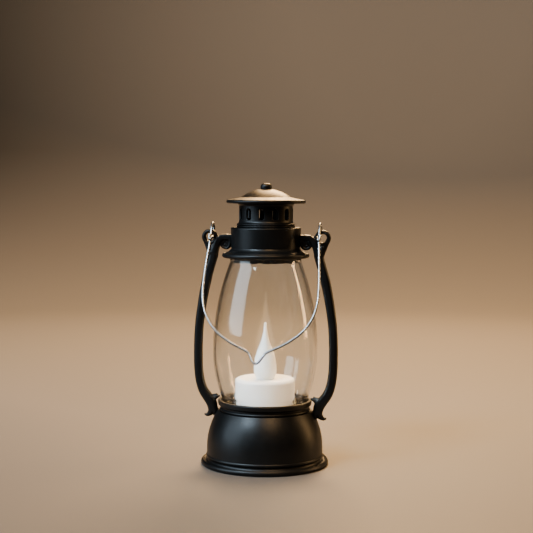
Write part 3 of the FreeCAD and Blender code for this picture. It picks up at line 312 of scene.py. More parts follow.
def black_plastic():
    """Moulded black plastic with a spark-eroded texture."""
    mix = Recipe("black_plastic")
    where = mix.place()
    texture = mix.noise(where, 0.0004, 2.0)
    base = mix.blend(texture, (0.014, 0.014, 0.015), (0.024, 0.024, 0.025))
    return mix.surface(Base_Color=base, Roughness=0.46 + texture * 0.12,
                       Normal=mix.bump(texture, 0.00006, 0.6))


def candle_white():
    """Waxy white plastic, a little milky, with faint moulding flow."""
    mix = Recipe("candle_white")
    where = mix.place()
    flow = mix.noise(mix.place((1.0, 1.0, 0.5)), 0.009, 3.0)
    fine = mix.noise(where, 0.0012, 3.0)
    darker = tuple(0.95 * part for part in mix.colours.candle)
    base = mix.blend(mix.between(flow, 0.3, 0.7), tuple(mix.colours.candle), darker)
    gloss = mix.between(flow, 0.3, 0.7, 0.30, 0.42) + (fine - 0.5) * 0.08
    return mix.surface(Base_Color=base, Roughness=gloss, Subsurface_Weight=0.35,
                       Subsurface_Radius=(0.006, 0.005, 0.004), Subsurface_Scale=0.6, IOR=1.46,
                       Normal=mix.bump(flow + fine * 0.3, 0.00012, 0.5))


def flame_diffuser():
    """Frosted translucent plastic."""
    mix = Recipe("flame_diffuser")
    frost = mix.noise(mix.place(), 0.0007, 3.0)
    cloud = mix.noise(mix.place((1.0, 1.0, 0.5)), 0.008, 2.0)
    darker = tuple(0.94 * part for part in mix.colours.flame)
    base = mix.blend(mix.between(cloud, 0.3, 0.7), tuple(mix.colours.flame), darker)
    return mix.surface(Base_Color=base, Roughness=0.42 + frost * 0.12, Subsurface_Weight=0.6,
                       Subsurface_Radius=(0.006, 0.006, 0.006), Subsurface_Scale=0.8, IOR=1.42,
                       Normal=mix.bump(frost, 0.00005, 0.5))


def led_lens():
    """Clear amber epoxy of the light-emitting diode."""
    mix = Recipe("led_lens")
    streaks = mix.noise(mix.place(), 0.002, 2.0)
    base = mix.blend(streaks, (0.92, 0.70, 0.34), (0.80, 0.55, 0.22))
    return mix.surface(Base_Color=base, Roughness=0.10 + streaks * 0.06, Subsurface_Weight=0.3,
                       Subsurface_Radius=(0.002, 0.002, 0.001), IOR=1.5)


def board_green():
    """Solder mask over a faint weave of glass cloth."""
    mix = Recipe("board_green")
    along, across = (mix.node("ShaderNodeTexWave", {"bands_direction": axis},
                              {"Vector": mix.place(), "Scale": 700.0}, output="Fac") for axis in "XY")
    weave = along * across
    base = mix.blend(weave, (0.010, 0.085, 0.035), (0.020, 0.140, 0.060))
    return mix.surface(Base_Color=base, Roughness=0.3 + weave * 0.1, Normal=mix.bump(weave, 0.00003, 0.5))


def cell_steel():
    """Nickel-plated can of the coin cell."""
    mix = Recipe("cell_steel")
    brushed = mix.noise(mix.place((1.0, 0.05, 1.0)), 0.0004, 3.0)
    base = mix.blend(brushed, (0.66, 0.65, 0.63), (0.55, 0.54, 0.52))
    return mix.surface(Base_Color=base, Metallic=1.0, Roughness=0.18 + brushed * 0.14,
                       Normal=mix.bump(brushed, 0.00003, 0.4))


def contact_spring():
    """Spring brass strip."""
    mix = Recipe("contact_spring")
    rolled = mix.noise(mix.place((0.05, 1.0, 1.0)), 0.0004, 3.0)
    base = mix.blend(rolled, (0.68, 0.50, 0.22), (0.52, 0.36, 0.15))
    return mix.surface(Base_Color=base, Metallic=1.0, Roughness=0.24 + rolled * 0.16,
                       Normal=mix.bump(rolled, 0.00003, 0.4))


FINISHES = (black_enamel, clear_glass, bright_wire, gasket_rubber, plated_steel, black_plastic, candle_white,
            flame_diffuser, led_lens, board_green, cell_steel, contact_spring)


def finish_for(slot):
    """The material of a slot, made the first time that it is asked for."""
    ready = bpy.data.materials.get(slot + "_finish")
    if ready:
        return ready
    maker = next(make for make in FINISHES if make.__name__ == slot)
    return maker()


# ---------------------------------------------------------------- modelling helpers

def start_fresh():
    """Leave edit mode and select nothing, so that an operator acts only on what is added next."""
    if bpy.context.mode != "OBJECT":
        bpy.ops.object.mode_set(mode="OBJECT")
    bpy.ops.object.select_all(action="DESELECT")


def pick(*pieces):
    """Select these objects alone and make the first one active."""
    start_fresh()
    for piece in pieces:
        piece.select_set(True)
    bpy.context.view_layer.objects.active = pieces[0]
    return pieces[0]


def apply_modifier(piece, kind, **settings):
    """Add a modifier to a piece and apply it."""
    pick(piece)
    bpy.ops.object.modifier_add(type=kind)
    modifier = piece.modifiers[-1]
    for name, value in settings.items():
        setattr(modifier, name, value)
    bpy.ops.object.modifier_apply(modifier=modifier.name)


def hand_over(piece, body, slot, *nodes):
    """Paint a finished piece, let it ride on its body and stand for CAD nodes."""
    start_fresh()
    piece.data.materials.clear()
    piece.data.materials.append(finish_for(slot))
    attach(piece, body)
    if nodes:
        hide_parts(*nodes)
    return piece


def arc(centre, radius, first, last, count):
    """Points on an arc in the (across, up) plane, with angles in degrees."""
    points = []
    for index in range(count + 1):
        angle = math.radians(first + (last - first) * index / count)
        points.append((centre[0] + radius * math.cos(angle), centre[1] + radius * math.sin(angle)))
    return points


def turn(name, section, steps=128, crease=35.0):
    """Spin a closed half section of (across, up) points about the Z axis."""
    start_fresh()
    points = [Vector((across, 0, up)) for across, up in section]
    bpy.ops.mesh.primitive_plane_add(size=MM, location=points[0])
    bpy.ops.object.transform_apply(location=True)
    piece = bpy.context.object
    piece.name = name
    bpy.ops.object.mode_set(mode="EDIT")
    bpy.ops.mesh.select_all(action="SELECT")
    bpy.ops.mesh.merge(type="CENTER")
    for here, onward in zip(points, points[1:] + points[:1]):
        bpy.ops.mesh.extrude_vertices_move(TRANSFORM_OT_translate={"value": onward - here})
    bpy.ops.mesh.select_all(action="SELECT")
    bpy.ops.mesh.remove_doubles(threshold=0.001 * MM)
    bpy.ops.mesh.spin(steps=steps, angle=2 * math.pi, center=(0, 0, 0), axis=(0, 0, 1))
    bpy.ops.mesh.select_all(action="SELECT")
    bpy.ops.mesh.remove_doubles(threshold=0.001 * MM)
    bpy.ops.mesh.delete_loose()
    bpy.ops.mesh.normals_make_consistent(inside=False)
    bpy.ops.object.mode_set(mode="OBJECT")
    bpy.ops.object.shade_smooth_by_angle(angle=math.radians(crease))
    return piece


def stroke(name, stations, rings=10, sides=5):
    """A bar along a smooth line through (point, radius) stations, as a closed mesh."""
    start_fresh()
    bpy.ops.curve.primitive_bezier_curve_add(radius=MM, location=(0, 0, 0), enter_editmode=True)
    bpy.ops.curve.select_all(action="SELECT")
    bpy.ops.curve.delete(type="VERT")
    for point, radius in stations:
        bpy.ops.curve.vertex_add(location=point)
        bpy.ops.curve.radius_set(radius=radius)
    bpy.ops.curve.select_all(action="SELECT")
    bpy.ops.curve.handle_type_set(type="AUTOMATIC")
    bpy.ops.object.mode_set(mode="OBJECT")
    line = bpy.context.object
    line.data.dimensions = "3D"
    line.data.bevel_depth = 1.0
    line.data.bevel_resolution = sides
    line.data.resolution_u = rings
    line.data.use_fill_caps = True
    bpy.ops.object.convert(target="MESH")
    piece = bpy.context.object
    piece.name = name
    bpy.ops.object.mode_set(mode="EDIT")
    bpy.ops.mesh.select_all(action="SELECT")
    bpy.ops.mesh.remove_doubles(threshold=0.001 * MM)
    bpy.ops.mesh.normals_make_consistent(inside=False)
    bpy.ops.object.mode_set(mode="OBJECT")
    return piece


def merged_copy(node):
    """A copy of a CAD node's mesh with its loose triangles joined up."""
    copy = frame["nodes"][node].copy()
    copy.data = copy.data.copy()
    copy.parent = None
    bpy.context.scene.collection.objects.link(copy)
    copy.hide_render = False
    copy.hide_viewport = False
    for key in list(copy.keys()):
        del copy[key]
    pick(copy)
    bpy.ops.object.mode_set(mode="EDIT")
    bpy.ops.mesh.select_all(action="SELECT")
    bpy.ops.mesh.remove_doubles(threshold=0.0005 * MM)
    bpy.ops.object.mode_set(mode="OBJECT")
    return copy


def cut_by(piece, cutters):
    """Cut a piece to the shapes of other objects, which are then removed."""
    for cutter in cutters:
        apply_modifier(piece, "BOOLEAN", operation="DIFFERENCE", solver="EXACT", object=cutter)
        pick(cutter)
        bpy.ops.object.delete()


# ---------------------------------------------------------------- globe

def bulge(reach, rise):
    """Radius of an arc that leaves the upright and comes in by reach over a rise."""
    return (rise * rise + reach * reach) / (2 * reach)


def globe_section(sizes):
    """Half section of the glass: two long arcs that meet at the belly, and a fire-polished foot and rim."""
    foot, rim, belly_radius = foot_of("globe"), top_of("globe"), reach_of("globe")
    wall = sizes.glass_wall
    belly = foot + sizes.belly_height
    neck_foot = rim - sizes.neck_length
    round_over, rim_round, foot_round, blend_round = 0.6 * MM, 0.5 * MM, 0.9 * MM, 0.8 * MM
    low_bend = bulge(belly_radius - sizes.glass_seat, sizes.belly_height - round_over)
    high_bend = bulge(belly_radius - sizes.glass_neck, neck_foot - belly)
    low_angle = math.degrees(math.asin((sizes.belly_height - round_over) / low_bend))
    high_angle = math.degrees(math.asin((neck_foot - belly) / high_bend))
    low_centre = (belly_radius - low_bend, belly)
    high_centre = (belly_radius - high_bend, belly)
    inner_neck = high_centre[0] + math.sqrt((high_bend - wall) ** 2 - (neck_foot - belly) ** 2)
    inner_seat = sizes.glass_seat - wall - blend_round
    section = arc(low_centre, low_bend, -low_angle, 0, 16)
    section += arc(high_centre, high_bend, 0, high_angle, 24)[1:]
    section += arc((sizes.glass_neck - round_over, rim - round_over), round_over, 0, 90, 4)
    section += arc((inner_neck + rim_round, rim - rim_round), rim_round, 90, 180, 4)
    section += arc(high_centre, high_bend - wall, high_angle, 0, 24)
    section += arc(low_centre, low_bend - wall, 0, -low_angle * 0.86, 14)[1:]
    section += arc((inner_seat + blend_round, foot + 2.6 * MM), blend_round, 160, 180, 2)
    section += arc((inner_seat + foot_round, foot + foot_round), foot_round, 180, 270, 4)
    section += arc((sizes.glass_seat - round_over, foot + round_over), round_over, -90, -20, 3)
    return section


class LANTERN_OT_globe(bpy.types.Operator):
    """Blow the clear globe with its thick fire-polished foot"""
    bl_idname = "lantern.globe"
    bl_label = "Globe"

    def execute(self, context):
        sizes = context.scene.lantern_sizes
        globe = turn("blown_globe", globe_section(sizes), steps=160, crease=80.0)
        hand_over(globe, "lantern", "clear_glass", "globe")
        return {"FINISHED"}


class LANTERN_OT_gasket(bpy.types.Operator):
    """Make the soft gasket under the crown, with the uneven edge that shows through the glass"""
    bl_idname = "lantern.gasket"
    bl_label = "Crown gasket"

    def execute(self, context):
        sizes = context.scene.lantern_sizes
        low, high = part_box("globe_upper_gasket")
        glass_top = top_of("globe")
        skirt = sizes.glass_neck - sizes.glass_wall - 0.3 * MM
        inner, corner = skirt - 1.6 * MM, low.z + 0.6 * MM
        section = [(inner, corner), (skirt - 1.0 * MM, low.z), (skirt - 0.3 * MM, low.z), (skirt, corner),
                   (skirt, glass_top), (high.x, glass_top), (high.x, high.z), (inner, high.z)]
        gasket = turn("crown_gasket", section, steps=180)
        edge = low.z + 0.8 * MM
        group = gasket.vertex_groups.new(name="skirt_edge")
        group.add([vertex.index for vertex in gasket.data.vertices if vertex.co.z < edge], 1.0, "REPLACE")
        clouds = bpy.data.textures.new("skirt_edge", "CLOUDS")
        clouds.noise_scale = 0.0022
        apply_modifier(gasket, "DISPLACE", texture=clouds, direction="Z", strength=0.0016, mid_level=0.15,
                       vertex_group="skirt_edge", texture_coords="LOCAL")
        bpy.data.textures.remove(clouds)
        hand_over(gasket, "lantern", "gasket_rubber", "globe_upper_gasket")
        return {"FINISHED"}


# ---------------------------------------------------------------- chimney

def chimney_wall():
    """Outer radius of the chimney's tube."""
    return reach_of("chimney") - 1.66 * MM


def chimney_section():
    """Half section of the vented chimney, from its flange to the flare that carries the cap."""
    foot, top = foot_of("chimney"), top_of("chimney")
    wall = chimney_wall()
    bore = wall - 1.4 * MM
    opening = bore - 3.0 * MM

    def from_foot(across, up):
        return wall + across * MM, foot + up * MM

    section = [(opening, foot), from_foot(1.2, 0)]
    section += arc(from_foot(1.1, 0.55), 0.5 * MM, -75, 75, 6)
    section += [from_foot(0.95, 1.15)]
    section += arc(from_foot(1.0, 1.75), 0.45 * MM, -70, 60, 6)
    section += arc(from_foot(2.4, 4.3), 2.4 * MM, 226, 180, 6)
    section += [(wall, top - 1.9 * MM)]
    section += arc((wall + 1.5 * MM, top - 1.9 * MM), 1.5 * MM, 180, 118, 6)
    section += [(wall + 0.9 * MM, top - 0.4 * MM), (wall + 0.8 * MM, top), (bore, top),
                (bore, foot + 1.5 * MM), (opening, foot + 1.5 * MM)]
    return section


def vent_cutter(sizes):
    """A bar that cuts two facing vents, with an arched top, a blunt point below and flared mouths."""
    width, length = sizes.vent_width, sizes.vent_length
    arch = top_of("chimney") - 3.2 * MM - width / 2
    inside = chimney_wall() - 0.38 * MM
    mouth = chimney_wall() + 1.2 * MM
    start_fresh()
    bpy.ops.mesh.primitive_circle_add(vertices=24, radius=width / 2, fill_type="NGON",
                                      location=(0, -mouth, arch), rotation=(math.pi / 2, 0, 0))
    bpy.ops.object.transform_apply(location=True, rotation=True)
    cutter = bpy.context.object
    bpy.ops.object.mode_set(mode="EDIT")
    bpy.ops.mesh.select_mode(type="VERT")
    bpy.ops.mesh.select_all(action="DESELECT")
    bpy.ops.object.mode_set(mode="OBJECT")
    for vertex in cutter.data.vertices:
        vertex.select = vertex.co.z < arch - 0.01 * MM
    bpy.ops.object.mode_set(mode="EDIT")
    bpy.ops.transform.resize(value=(1, 1, 0.62), center_override=(0, -mouth, arch))
    bpy.ops.transform.translate(value=(0, 0, width * 0.81 - length))
    bpy.ops.mesh.select_all(action="SELECT")
    middle = arch + width / 2 - length / 2
    flare = mouth - inside
    wide, tall = 1 + 2 * flare / width, 1 + 2 * flare / length
    bpy.ops.transform.resize(value=(wide, 1, tall), center_override=(0, 0, middle))
    for step, share in ((flare, (1 / wide, 1, 1 / tall)), (2 * inside, (1, 1, 1)),
                        (flare, (wide, 1, tall))):
        bpy.ops.mesh.extrude_region_move(TRANSFORM_OT_translate={"value": (0, step, 0)})
        bpy.ops.transform.resize(value=share, center_override=(0, 0, middle))
    bpy.ops.mesh.select_all(action="SELECT")
    bpy.ops.mesh.normals_make_consistent(inside=False)
    bpy.ops.object.mode_set(mode="OBJECT")
    return cutter


class LANTERN_OT_chimney(bpy.types.Operator):
    """Spin the chimney and pierce its ring of softly flared vents"""
    bl_idname = "lantern.chimney"
    bl_label = "Chimney"

    def execute(self, context):
        sizes = context.scene.lantern_sizes
        chimney = turn("vented_chimney", chimney_section(), steps=120)
        cutter = vent_cutter(sizes)
        pairs = 6
        for _ in range(pairs):
            apply_modifier(chimney, "BOOLEAN", operation="DIFFERENCE", solver="EXACT", object=cutter)
            pick(cutter)
            bpy.ops.object.mode_set(mode="EDIT")
            bpy.ops.mesh.select_all(action="SELECT")
            bpy.ops.transform.rotate(value=math.pi / pairs, orient_axis="Z", center_override=(0, 0, 0))
            bpy.ops.object.mode_set(mode="OBJECT")
        bpy.ops.object.delete()
        pick(chimney)
        bpy.ops.object.shade_smooth_by_angle(angle=math.radians(32))
        hand_over(chimney, "lantern", "black_enamel", "chimney")
        return {"FINISHED"}


# ---------------------------------------------------------------- knob

class LANTERN_OT_knob(bpy.types.Operator):
    """Turn the cap's knob: a stud under a steep-sided dome"""
    bl_idname = "lantern.knob"
    bl_label = "Cap knob"

    def execute(self, context):
        foot, seat, top = foot_of("cap_knob"), top_of("cap"), top_of("cap_knob")
        reach, stud, round_over = reach_of("cap_knob"), 0.0015, 0.0023
        section = [(0, foot), (stud, foot), (stud, seat), (reach - 0.0002, seat)]
        section += arc((reach - round_over, top - round_over), round_over, -6, 78, 12)
        section += [(0.0009, top - 0.00002), (0, top)]
        knob = turn("domed_knob", section, steps=64)
        hand_over(knob, "lantern", "black_enamel", "cap_knob")
        return {"FINISHED"}


# ---------------------------------------------------------------- arms

def arm_strokes():
    """The strokes that a cast arm is made of, for the right side.

    A station is (across, up, radius) in millimetres. Low stations are measured from the collar's rim,
    and high ones from the crown's lip.
    """
    rim, rim_top = reach_of("globe_collar"), top_of("globe_collar")
    lip, lip_foot = reach_of("crown"), foot_of("crown")

    def low(across, up, radius):
        return Vector((rim + across * MM, 0, rim_top + up * MM)), radius * MM

    def high(across, up, radius):
        return Vector((lip + across * MM, 0, lip_foot + up * MM)), radius * MM

    shaft = [
        low(9.7, -10.9, 0.5), low(8.1, -11.4, 1.05), low(6.2, -10.4, 1.8), low(4.7, -8.3, 2.8),
        low(4.4, -5.9, 3.3), low(5.3, -2.9, 3.5), low(7.5, 0.2, 3.35), low(10.3, 4.3, 3.15),
        low(12.0, 8.7, 3.0), low(13.4, 17.1, 2.9), low(13.75, 26.9, 2.88), low(13.65, 36.5, 2.88),
        high(15.4, -43.8, 2.88), high(14.25, -34.3, 2.9), high(12.7, -24.8, 3.0), high(10.7, -15.0, 3.1),
        high(8.7, -7.3, 2.95), high(7.2, -2.3, 2.9), high(6.3, 1.2, 3.05), high(5.9, 4.0, 2.95),
    ]
    foot = [low(5.2, -5.0, 2.6), low(3.4, -7.2, 2.7), low(2.6, -9.4, 2.2), low(3.6, -11.3, 1.2)]
    leaf = [low(6.6, -0.6, 2.3), low(3.6, -0.4, 1.85), low(1.3, 0.6, 1.15), low(-0.6, 1.2, 0.5)]
    bract = [low(4.8, 0.5, 1.7), low(2.7, 1.5, 0.95), low(1.2, 2.4, 0.45)]
    outer_cheek = [high(7.4, 2.0, 2.5), high(8.9, 4.9, 1.95), high(10.7, 8.5, 1.6), high(12.2, 11.6, 1.35),
                   high(12.5, 12.8, 1.3)]
    inner_cheek = [high(6.1, 4.3, 2.7), high(5.9, 7.9, 1.8), high(5.2, 10.9, 1.45), high(4.9, 12.8, 1.3)]
    web = [high(7.8, 4.6, 2.4), high(8.6, 7.6, 1.9)]
    scroll_top = [high(1.4, 12.75, 1.95), high(-2.0, 12.85, 1.9), high(-6.2, 12.85, 1.9)]
    shoulder = [high(3.9, 12.2, 1.7), high(5.4, 13.6, 1.5), high(7.0, 15.6, 1.3)]
    scroll = [
        high(6.0, 2.4, 2.6), high(4.7, 6.0, 2.3), high(3.4, 9.2, 2.1), high(1.8, 11.8, 1.95),
        high(-0.8, 12.85, 1.9), high(-3.4, 12.75, 1.85), high(-4.9, 10.6, 1.45), high(-4.6, 8.0, 1.1),
        high(-3.3, 6.1, 0.9), high(-1.3, 5.7, 0.8), high(0.5, 6.6, 0.8), high(1.0, 8.3, 0.7),
        high(0.1, 9.8, 0.62), high(-1.6, 10.1, 0.6), high(-2.8, 9.1, 0.6), high(-2.9, 7.8, 0.6),
        high(-1.9, 7.1, 0.62), high(-1.1, 7.8, 0.75),
    ]
    return {"shaft": shaft, "foot": foot, "leaf": leaf, "bract": bract, "outer_cheek": outer_cheek,
            "inner_cheek": inner_cheek, "web": web, "shoulder": shoulder,
            "scroll_top": scroll_top, "scroll": scroll}


def flattened(piece, share):
    """Scale a piece from front to back about the arm's middle plane."""
    pick(piece)
    bpy.ops.object.mode_set(mode="EDIT")
    bpy.ops.mesh.select_all(action="SELECT")
    bpy.ops.transform.resize(value=(1, share, 1), center_override=(0, 0, 0))
    bpy.ops.object.mode_set(mode="OBJECT")
    return piece


def press_flat(piece, half_thickness):
    """Flatten what stands out beyond a thickness to both sides of the middle plane."""
    for side in (1, -1):
        pick(piece)
        bpy.ops.object.mode_set(mode="EDIT")
        bpy.ops.mesh.select_all(action="DESELECT")
        bpy.ops.object.mode_set(mode="OBJECT")
        for vertex in piece.data.vertices:
            vertex.select = vertex.co.y * side > half_thickness
        bpy.ops.object.mode_set(mode="EDIT")
        bpy.ops.transform.resize(value=(1, 0.12, 1), center_override=(0, side * half_thickness, 0))
        bpy.ops.object.mode_set(mode="OBJECT")


def scroll_discs():
    """Thin discs that close the scroll behind its rolled band, as (across, up, radius, half thickness)."""
    lip, lip_foot = reach_of("crown"), foot_of("crown")
    return [(lip - 1.8 * MM, lip_foot + 8.6 * MM, 3.2 * MM, 1.1 * MM),
            (lip + 1.6 * MM, lip_foot + 9.4 * MM, 2.0 * MM, 1.5 * MM)]


def eye_place():
    """Middle of the bail's hole in the right arm."""
    return Vector((reach_of("crown") + 8.7 * MM, 0, foot_of("crown") + 12.7 * MM))


class LANTERN_OT_arms(bpy.types.Operator):
    """Cast the two side arms from strokes that run into one another: shaft, leaf, scroll and bail eye"""
    bl_idname = "lantern.arms"
    bl_label = "Arms"

    def execute(self, context):
        sizes = context.scene.lantern_sizes
        widths = {"shaft": 0.92, "scroll_top": 2.2, "leaf": 1.0, "bract": 0.9, "scroll": 2.2}
        stock = [flattened(stroke(name, stations), widths.get(name, 1.05))
                 for name, stations in arm_strokes().items()]
        for across, up, radius, half in scroll_discs():
            start_fresh()
            bpy.ops.mesh.primitive_cylinder_add(vertices=48, radius=radius, depth=2 * half,
                                                location=(across, 0, up), rotation=(math.pi / 2, 0, 0))
            bpy.ops.object.transform_apply(location=True, rotation=True)
            stock.append(bpy.context.object)
        start_fresh()
        bpy.ops.mesh.primitive_torus_add(
            major_radius=3.85 * MM, minor_radius=1.3 * MM, major_segments=64, minor_segments=20,
            location=eye_place(), rotation=(math.pi / 2, 0, 0))
        bpy.ops.object.transform_apply(location=True, rotation=True)
        stock.append(flattened(bpy.context.object, 1.5))
        arm = pick(*stock)
        bpy.ops.object.join()
        arm.name = "cast_arm_right"
        press_flat(arm, sizes.arm_thickness / 2)
        apply_modifier(arm, "REMESH", mode="VOXEL", voxel_size=sizes.casting_grain)
        apply_modifier(arm, "SMOOTH", factor=0.5, iterations=4)
        cut_by(arm, [merged_copy(node) for node in ("base_dome", "globe_collar", "crown")])
        pick(arm)
        bpy.ops.object.shade_smooth_by_angle(angle=math.radians(50))
        bpy.ops.object.duplicate()
        mirrored = bpy.context.object
        mirrored.name = "cast_arm_left"
        bpy.ops.object.mode_set(mode="EDIT")
        bpy.ops.mesh.select_all(action="SELECT")
        bpy.ops.transform.resize(value=(-1, 1, 1), center_override=(0, 0, 0))
        bpy.ops.mesh.normals_make_consistent(inside=False)
        bpy.ops.object.mode_set(mode="OBJECT")
        hand_over(arm, "lantern", "black_enamel", "arm_right")
        hand_over(mirrored, "lantern", "black_enamel", "arm_left")
        return {"FINISHED"}


# ---------------------------------------------------------------- bail

BAIL_FRONT = 3.6 * MM


def bail_stations(sizes):
    """Centreline of the wire, hanging straight down from a pivot at the origin, from end to end.

    In millimetres, a strand is (across, up from the bottom of the bend), an eye is (along, up from the
    pivot) and a hook is (inward from the eye, along, up from the pivot).
    """
    right = [
        (0.6, 0.0), (2.0, 0.7), (3.4, 2.5), (4.9, 4.8), (6.4, 6.6), (8.3, 7.8), (11.0, 9.1), (15.4, 11.3),
        (21.4, 15.0), (27.4, 20.1), (32.2, 26.7), (35.2, 34.6), (36.4, 43.6), (36.2, 54.0), (35.4, 67.0),
        (34.6, 79.0), (34.5, 85.0),
    ]
    left = [
        (-0.8, 0.7), (-2.0, 2.5), (-3.0, 4.8), (-4.3, 6.7), (-6.3, 8.0), (-9.4, 9.5), (-14.6, 12.0),
        (-20.6, 15.8), (-26.2, 20.5), (-31.0, 26.8), (-34.6, 34.6), (-36.2, 43.6), (-36.3, 54.0),
        (-35.6, 67.0), (-34.65, 79.0), (-34.5, 85.0),
    ]
    eye = [(-3.2, 2.0), (-2.2, 4.4), (0, 5.2), (2.2, 4.4), (3.2, 2.0), (3.4, -0.8), (2.4, -3.0), (0.4, -4.1)]
    # Each end comes through its hole, hooks round the strand below it and points up again.
    hook = [(0.6, -1.9, -4.5), (0.95, -3.6, -5.2), (0.7, -4.8, -6.4), (0.0, -5.1, -7.3), (-0.5, -5.1, -6.6),
            (-0.65, -5.0, -5.2), (-0.7, -4.9, -3.8)]
    halves = []
    for side, strand in ((-1, left), (1, right)):
        eye_across = abs(strand[-1][0])
        half = [Vector((across * MM, -BAIL_FRONT, rise * MM - sizes.bail_length)) for across, rise in strand]
        half += [Vector((side * eye_across, along, up)) * MM for along, up in eye]
        half += [Vector((side * (eye_across - inward), along, up)) * MM for inward, along, up in hook]
        halves.append(half)
    return [(point, sizes.wire_radius) for point in halves[0][::-1] + halves[1]]


def bail_lean(sizes):
    """Angle by which the bail leans forward until it rests on the globe."""
    touch_rise, touch_across, room = 8.4 * MM, 6.3 * MM, 0.25 * MM
    drop = sizes.bail_length - touch_rise
    reach = reach_of("globe") + room + sizes.wire_radius
    level = math.sqrt(reach ** 2 - touch_across ** 2)
    return math.atan2(drop, BAIL_FRONT) - math.acos(level / math.hypot(drop, BAIL_FRONT))


class LANTERN_OT_bail(bpy.types.Operator):
    """Bend the wire bail, with its two closed eyes and wrapped ends"""
    bl_idname = "lantern.bail"
    bl_label = "Bail"

    def execute(self, context):
        sizes = context.scene.lantern_sizes
        swing = next(joint for joint in frame["joints"] if joint["name"] == "bail_swing")
        wire = stroke("bent_bail", bail_stations(sizes), rings=10, sides=4)
        lean = bail_lean(sizes)
        pick(wire)
        bpy.ops.object.mode_set(mode="EDIT")
        bpy.ops.mesh.select_all(action="SELECT")
        bpy.ops.transform.rotate(value=lean, orient_axis="X", center_override=(0, 0, 0))
        bpy.ops.transform.translate(value=(0, 0, swing["pos_m"][2]))
        bpy.ops.object.mode_set(mode="OBJECT")
        bpy.ops.object.shade_smooth()
        hand_over(wire, "bail", "bright_wire", "bail_wire")
        return {"FINISHED"}


# ---------------------------------------------------------------- carried-over nodes

class LANTERN_OT_finishes(bpy.types.Operator):
    """Paint every part that is carried over from the frame with the finish of its slot"""
    bl_idname = "lantern.finishes"
    bl_label = "Finishes"

    def execute(self, context):
        for part in frame["record"]["subparts"]:
            node = frame["nodes"][part["node"]]
            node.data.materials.clear()
            node.data.materials.append(finish_for(part["material_slot"]))
        return {"FINISHED"}


# ---------------------------------------------------------------- stage

def sweep_finish():
    """Matt sweep: a pale floor that runs up into a wall, with painted shade that darkens it at the sides and in
    front.
    """
    mix = Recipe("painted_shade_sweep")
    where = mix.place()
    across = mix.node("ShaderNodeSeparateXYZ", {}, {"Vector": where})
    along, up = across.sibling("Y"), across.sibling("Z")
    # Painted shade: floor and wall fade to a tenth of the backdrop colour towards the sides and the front, leaving
    # a painted pool of light behind the lantern.
    painted_light_pool = along - across * across * 1.6
    painted_shade = tuple(0.10 * part for part in mix.colours.backdrop)
    wall = mix.blend(mix.between(painted_light_pool, 0.2, 1.5), painted_shade, tuple(mix.colours.backdrop))
    floor = mix.blend(mix.between(painted_light_pool, -0.7, 0.1), painted_shade, tuple(mix.colours.floor))
    base = mix.blend(mix.between(up, 0.0, 0.25), floor, wall)
    tone = mix.noise(where, 0.35, 2.0)
    return mix.surface(Base_Color=base, Roughness=0.55 + tone * 0.05, Specular_IOR_Level=0.25)


def soft_light(name, place, aim, size, watts, colour):
    """A soft rectangular lamp that faces a point."""
    start_fresh()
    bpy.ops.object.light_add(type="AREA", location=place)
    lamp = bpy.context.object
    lamp.name = name
    lamp.data.shape = "RECTANGLE"
    lamp.data.size, lamp.data.size_y = size
    lamp.data.energy = watts
    lamp.data.color = colour
    lamp.rotation_euler = (Vector(aim) - Vector(place)).to_track_quat("-Z", "Y").to_euler()
    return lamp


def sweep():
    """A round floor whose edge runs up through a cove into a wall."""
    floor_radius, cove, wall_top, steps = 1.0, 0.6, 1.9, 16
    start_fresh()
    bpy.ops.mesh.primitive_circle_add(vertices=96, radius=floor_radius, fill_type="NGON", location=(0, 0, 0))
    floor = bpy.context.object
    floor.name = "studio_floor"
    bpy.ops.object.mode_set(mode="EDIT")
    bpy.ops.mesh.select_mode(type="EDGE")
    bpy.ops.mesh.select_all(action="SELECT")
    bpy.ops.mesh.region_to_loop()
    angles = [math.pi / 2 * step / steps for step in range(steps + 1)]
    rises = [(floor_radius + cove * math.sin(angle), cove * (1 - math.cos(angle))) for angle in angles]
    rises.append((floor_radius + cove, wall_top))
    for (reach, height), (next_reach, next_height) in zip(rises, rises[1:]):
        share = next_reach / reach
        bpy.ops.mesh.extrude_region_move(TRANSFORM_OT_translate={"value": (0, 0, next_height - height)})
        bpy.ops.transform.resize(value=(share, share, 1), center_override=(0, 0, next_height))
    bpy.ops.object.mode_set(mode="OBJECT")
    bpy.ops.object.shade_smooth_by_angle(angle=math.radians(40))
    floor.data.materials.append(sweep_finish())
    return floor


def studio_air():
    """Faint even light from all round."""
    world = bpy.data.worlds.new("studio_air")
    world.use_nodes = True
    background = world.node_tree.nodes["Background"]
    background.inputs["Color"].default_value = (0.50, 0.45, 0.40, 1.0)
    background.inputs["Strength"].default_value = 0.12
    return world


def studio_camera():
    """The camera: a little to the right of the front, level with the cap and tipped slightly down."""
    azimuth, pitch, roll = math.radians(10.0), math.radians(3.5), math.radians(0.34)
    heading = azimuth - math.radians(0.036)
    distance, height = 0.758, 0.172
    bpy.ops.object.camera_add(location=(distance * math.sin(azimuth), -distance * math.cos(azimuth), height))
    camera = bpy.context.object
    camera.name = "studio_camera"
    camera.data.sensor_width = 36.0
    camera.data.lens = 81.05
    forward = math.cos(pitch)
    ahead = Vector((-math.sin(heading) * forward, math.cos(heading) * forward, -math.sin(pitch)))
    level = ahead.to_track_quat("-Z", "Y")
    camera.rotation_euler = (level @ Quaternion((0, 0, 1), roll)).to_euler()
    camera.data.clip_start, camera.data.clip_end = 0.01, 20.0
    return camera


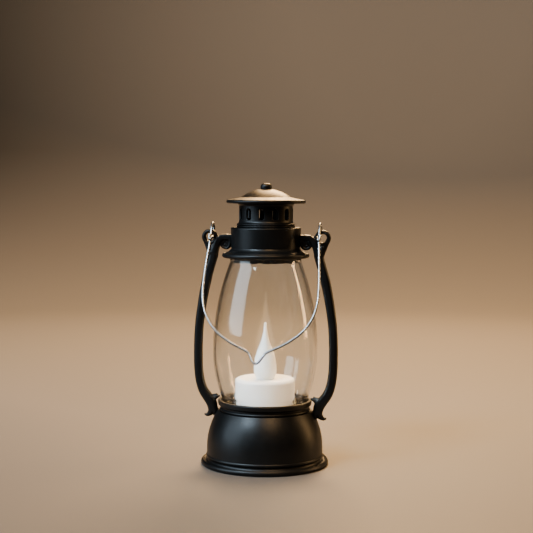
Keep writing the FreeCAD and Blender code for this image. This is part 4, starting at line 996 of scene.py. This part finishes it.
class LANTERN_OT_stage(bpy.types.Operator):
    """Set the floor and backdrop, the studio lights and the camera"""
    bl_idname = "lantern.stage"
    bl_label = "Stage"

    def execute(self, context):
        colours = context.scene.lantern_colours
        sweep()
        aim, wall = (0, 0, 0.09), (0.0, 1.55, 0.35)
        cool, warm = colours.cool_light, colours.warm_light
        soft_light("cool_window", (-1.02, -0.55, 0.50), aim, (0.85, 0.85), 9.0, cool)
        soft_light("cool_front", (-0.60, -0.85, 1.10), aim, (0.45, 0.45), 17.0, cool)
        soft_light("warm_strip", (1.02, 0.41, 0.40), aim, (0.10, 0.75), 4.0, warm)
        soft_light("warm_front", (0.45, -0.90, 1.20), aim, (0.40, 0.40), 9.0, warm)
        soft_light("warm_back", (0.02, 0.85, 0.86), aim, (0.50, 0.55), 24.0, warm)
        soft_light("warm_top", (0.0, 0.05, 1.25), aim, (0.25, 0.25), 5.0, warm)
        soft_light("wall_glow", (0.0, 0.30, 1.30), wall, (0.5, 0.3), 6.0, warm)
        context.scene.world = studio_air()
        context.scene.view_settings.look = "AgX - Medium High Contrast"
        context.scene.camera = studio_camera()
        return {"FINISHED"}


# ---------------------------------------------------------------- panel and start

class LANTERN_PT_sidebar(bpy.types.Panel):
    """Lists the lantern's settings and pieces"""
    bl_idname = "LANTERN_PT_sidebar"
    bl_label = "Hurricane lantern"
    bl_space_type = "VIEW_3D"
    bl_region_type = "UI"
    bl_category = "Lantern"

    def draw(self, context):
        for settings in (context.scene.lantern_sizes, context.scene.lantern_colours):
            column = self.layout.column(align=True)
            for name in settings.__annotations__:
                column.prop(settings, name)
        for operator in OPERATORS:
            self.layout.operator(operator.bl_idname)


OPERATORS = (LANTERN_OT_finishes, LANTERN_OT_globe, LANTERN_OT_gasket, LANTERN_OT_chimney, LANTERN_OT_knob,
             LANTERN_OT_arms, LANTERN_OT_bail, LANTERN_OT_stage)
CLASSES = (LanternSizes, LanternColours, *OPERATORS, LANTERN_PT_sidebar)


def register():
    for item in CLASSES:
        bpy.utils.register_class(item)
    bpy.types.Scene.lantern_sizes = PointerProperty(type=LanternSizes)
    bpy.types.Scene.lantern_colours = PointerProperty(type=LanternColours)


def unregister():
    del bpy.types.Scene.lantern_colours
    del bpy.types.Scene.lantern_sizes
    for item in reversed(CLASSES):
        bpy.utils.unregister_class(item)


def main():
    register()
    for operator in OPERATORS:
        group, name = operator.bl_idname.split(".")
        getattr(getattr(bpy.ops, group), name)()


if __name__ == "__main__":
    main()
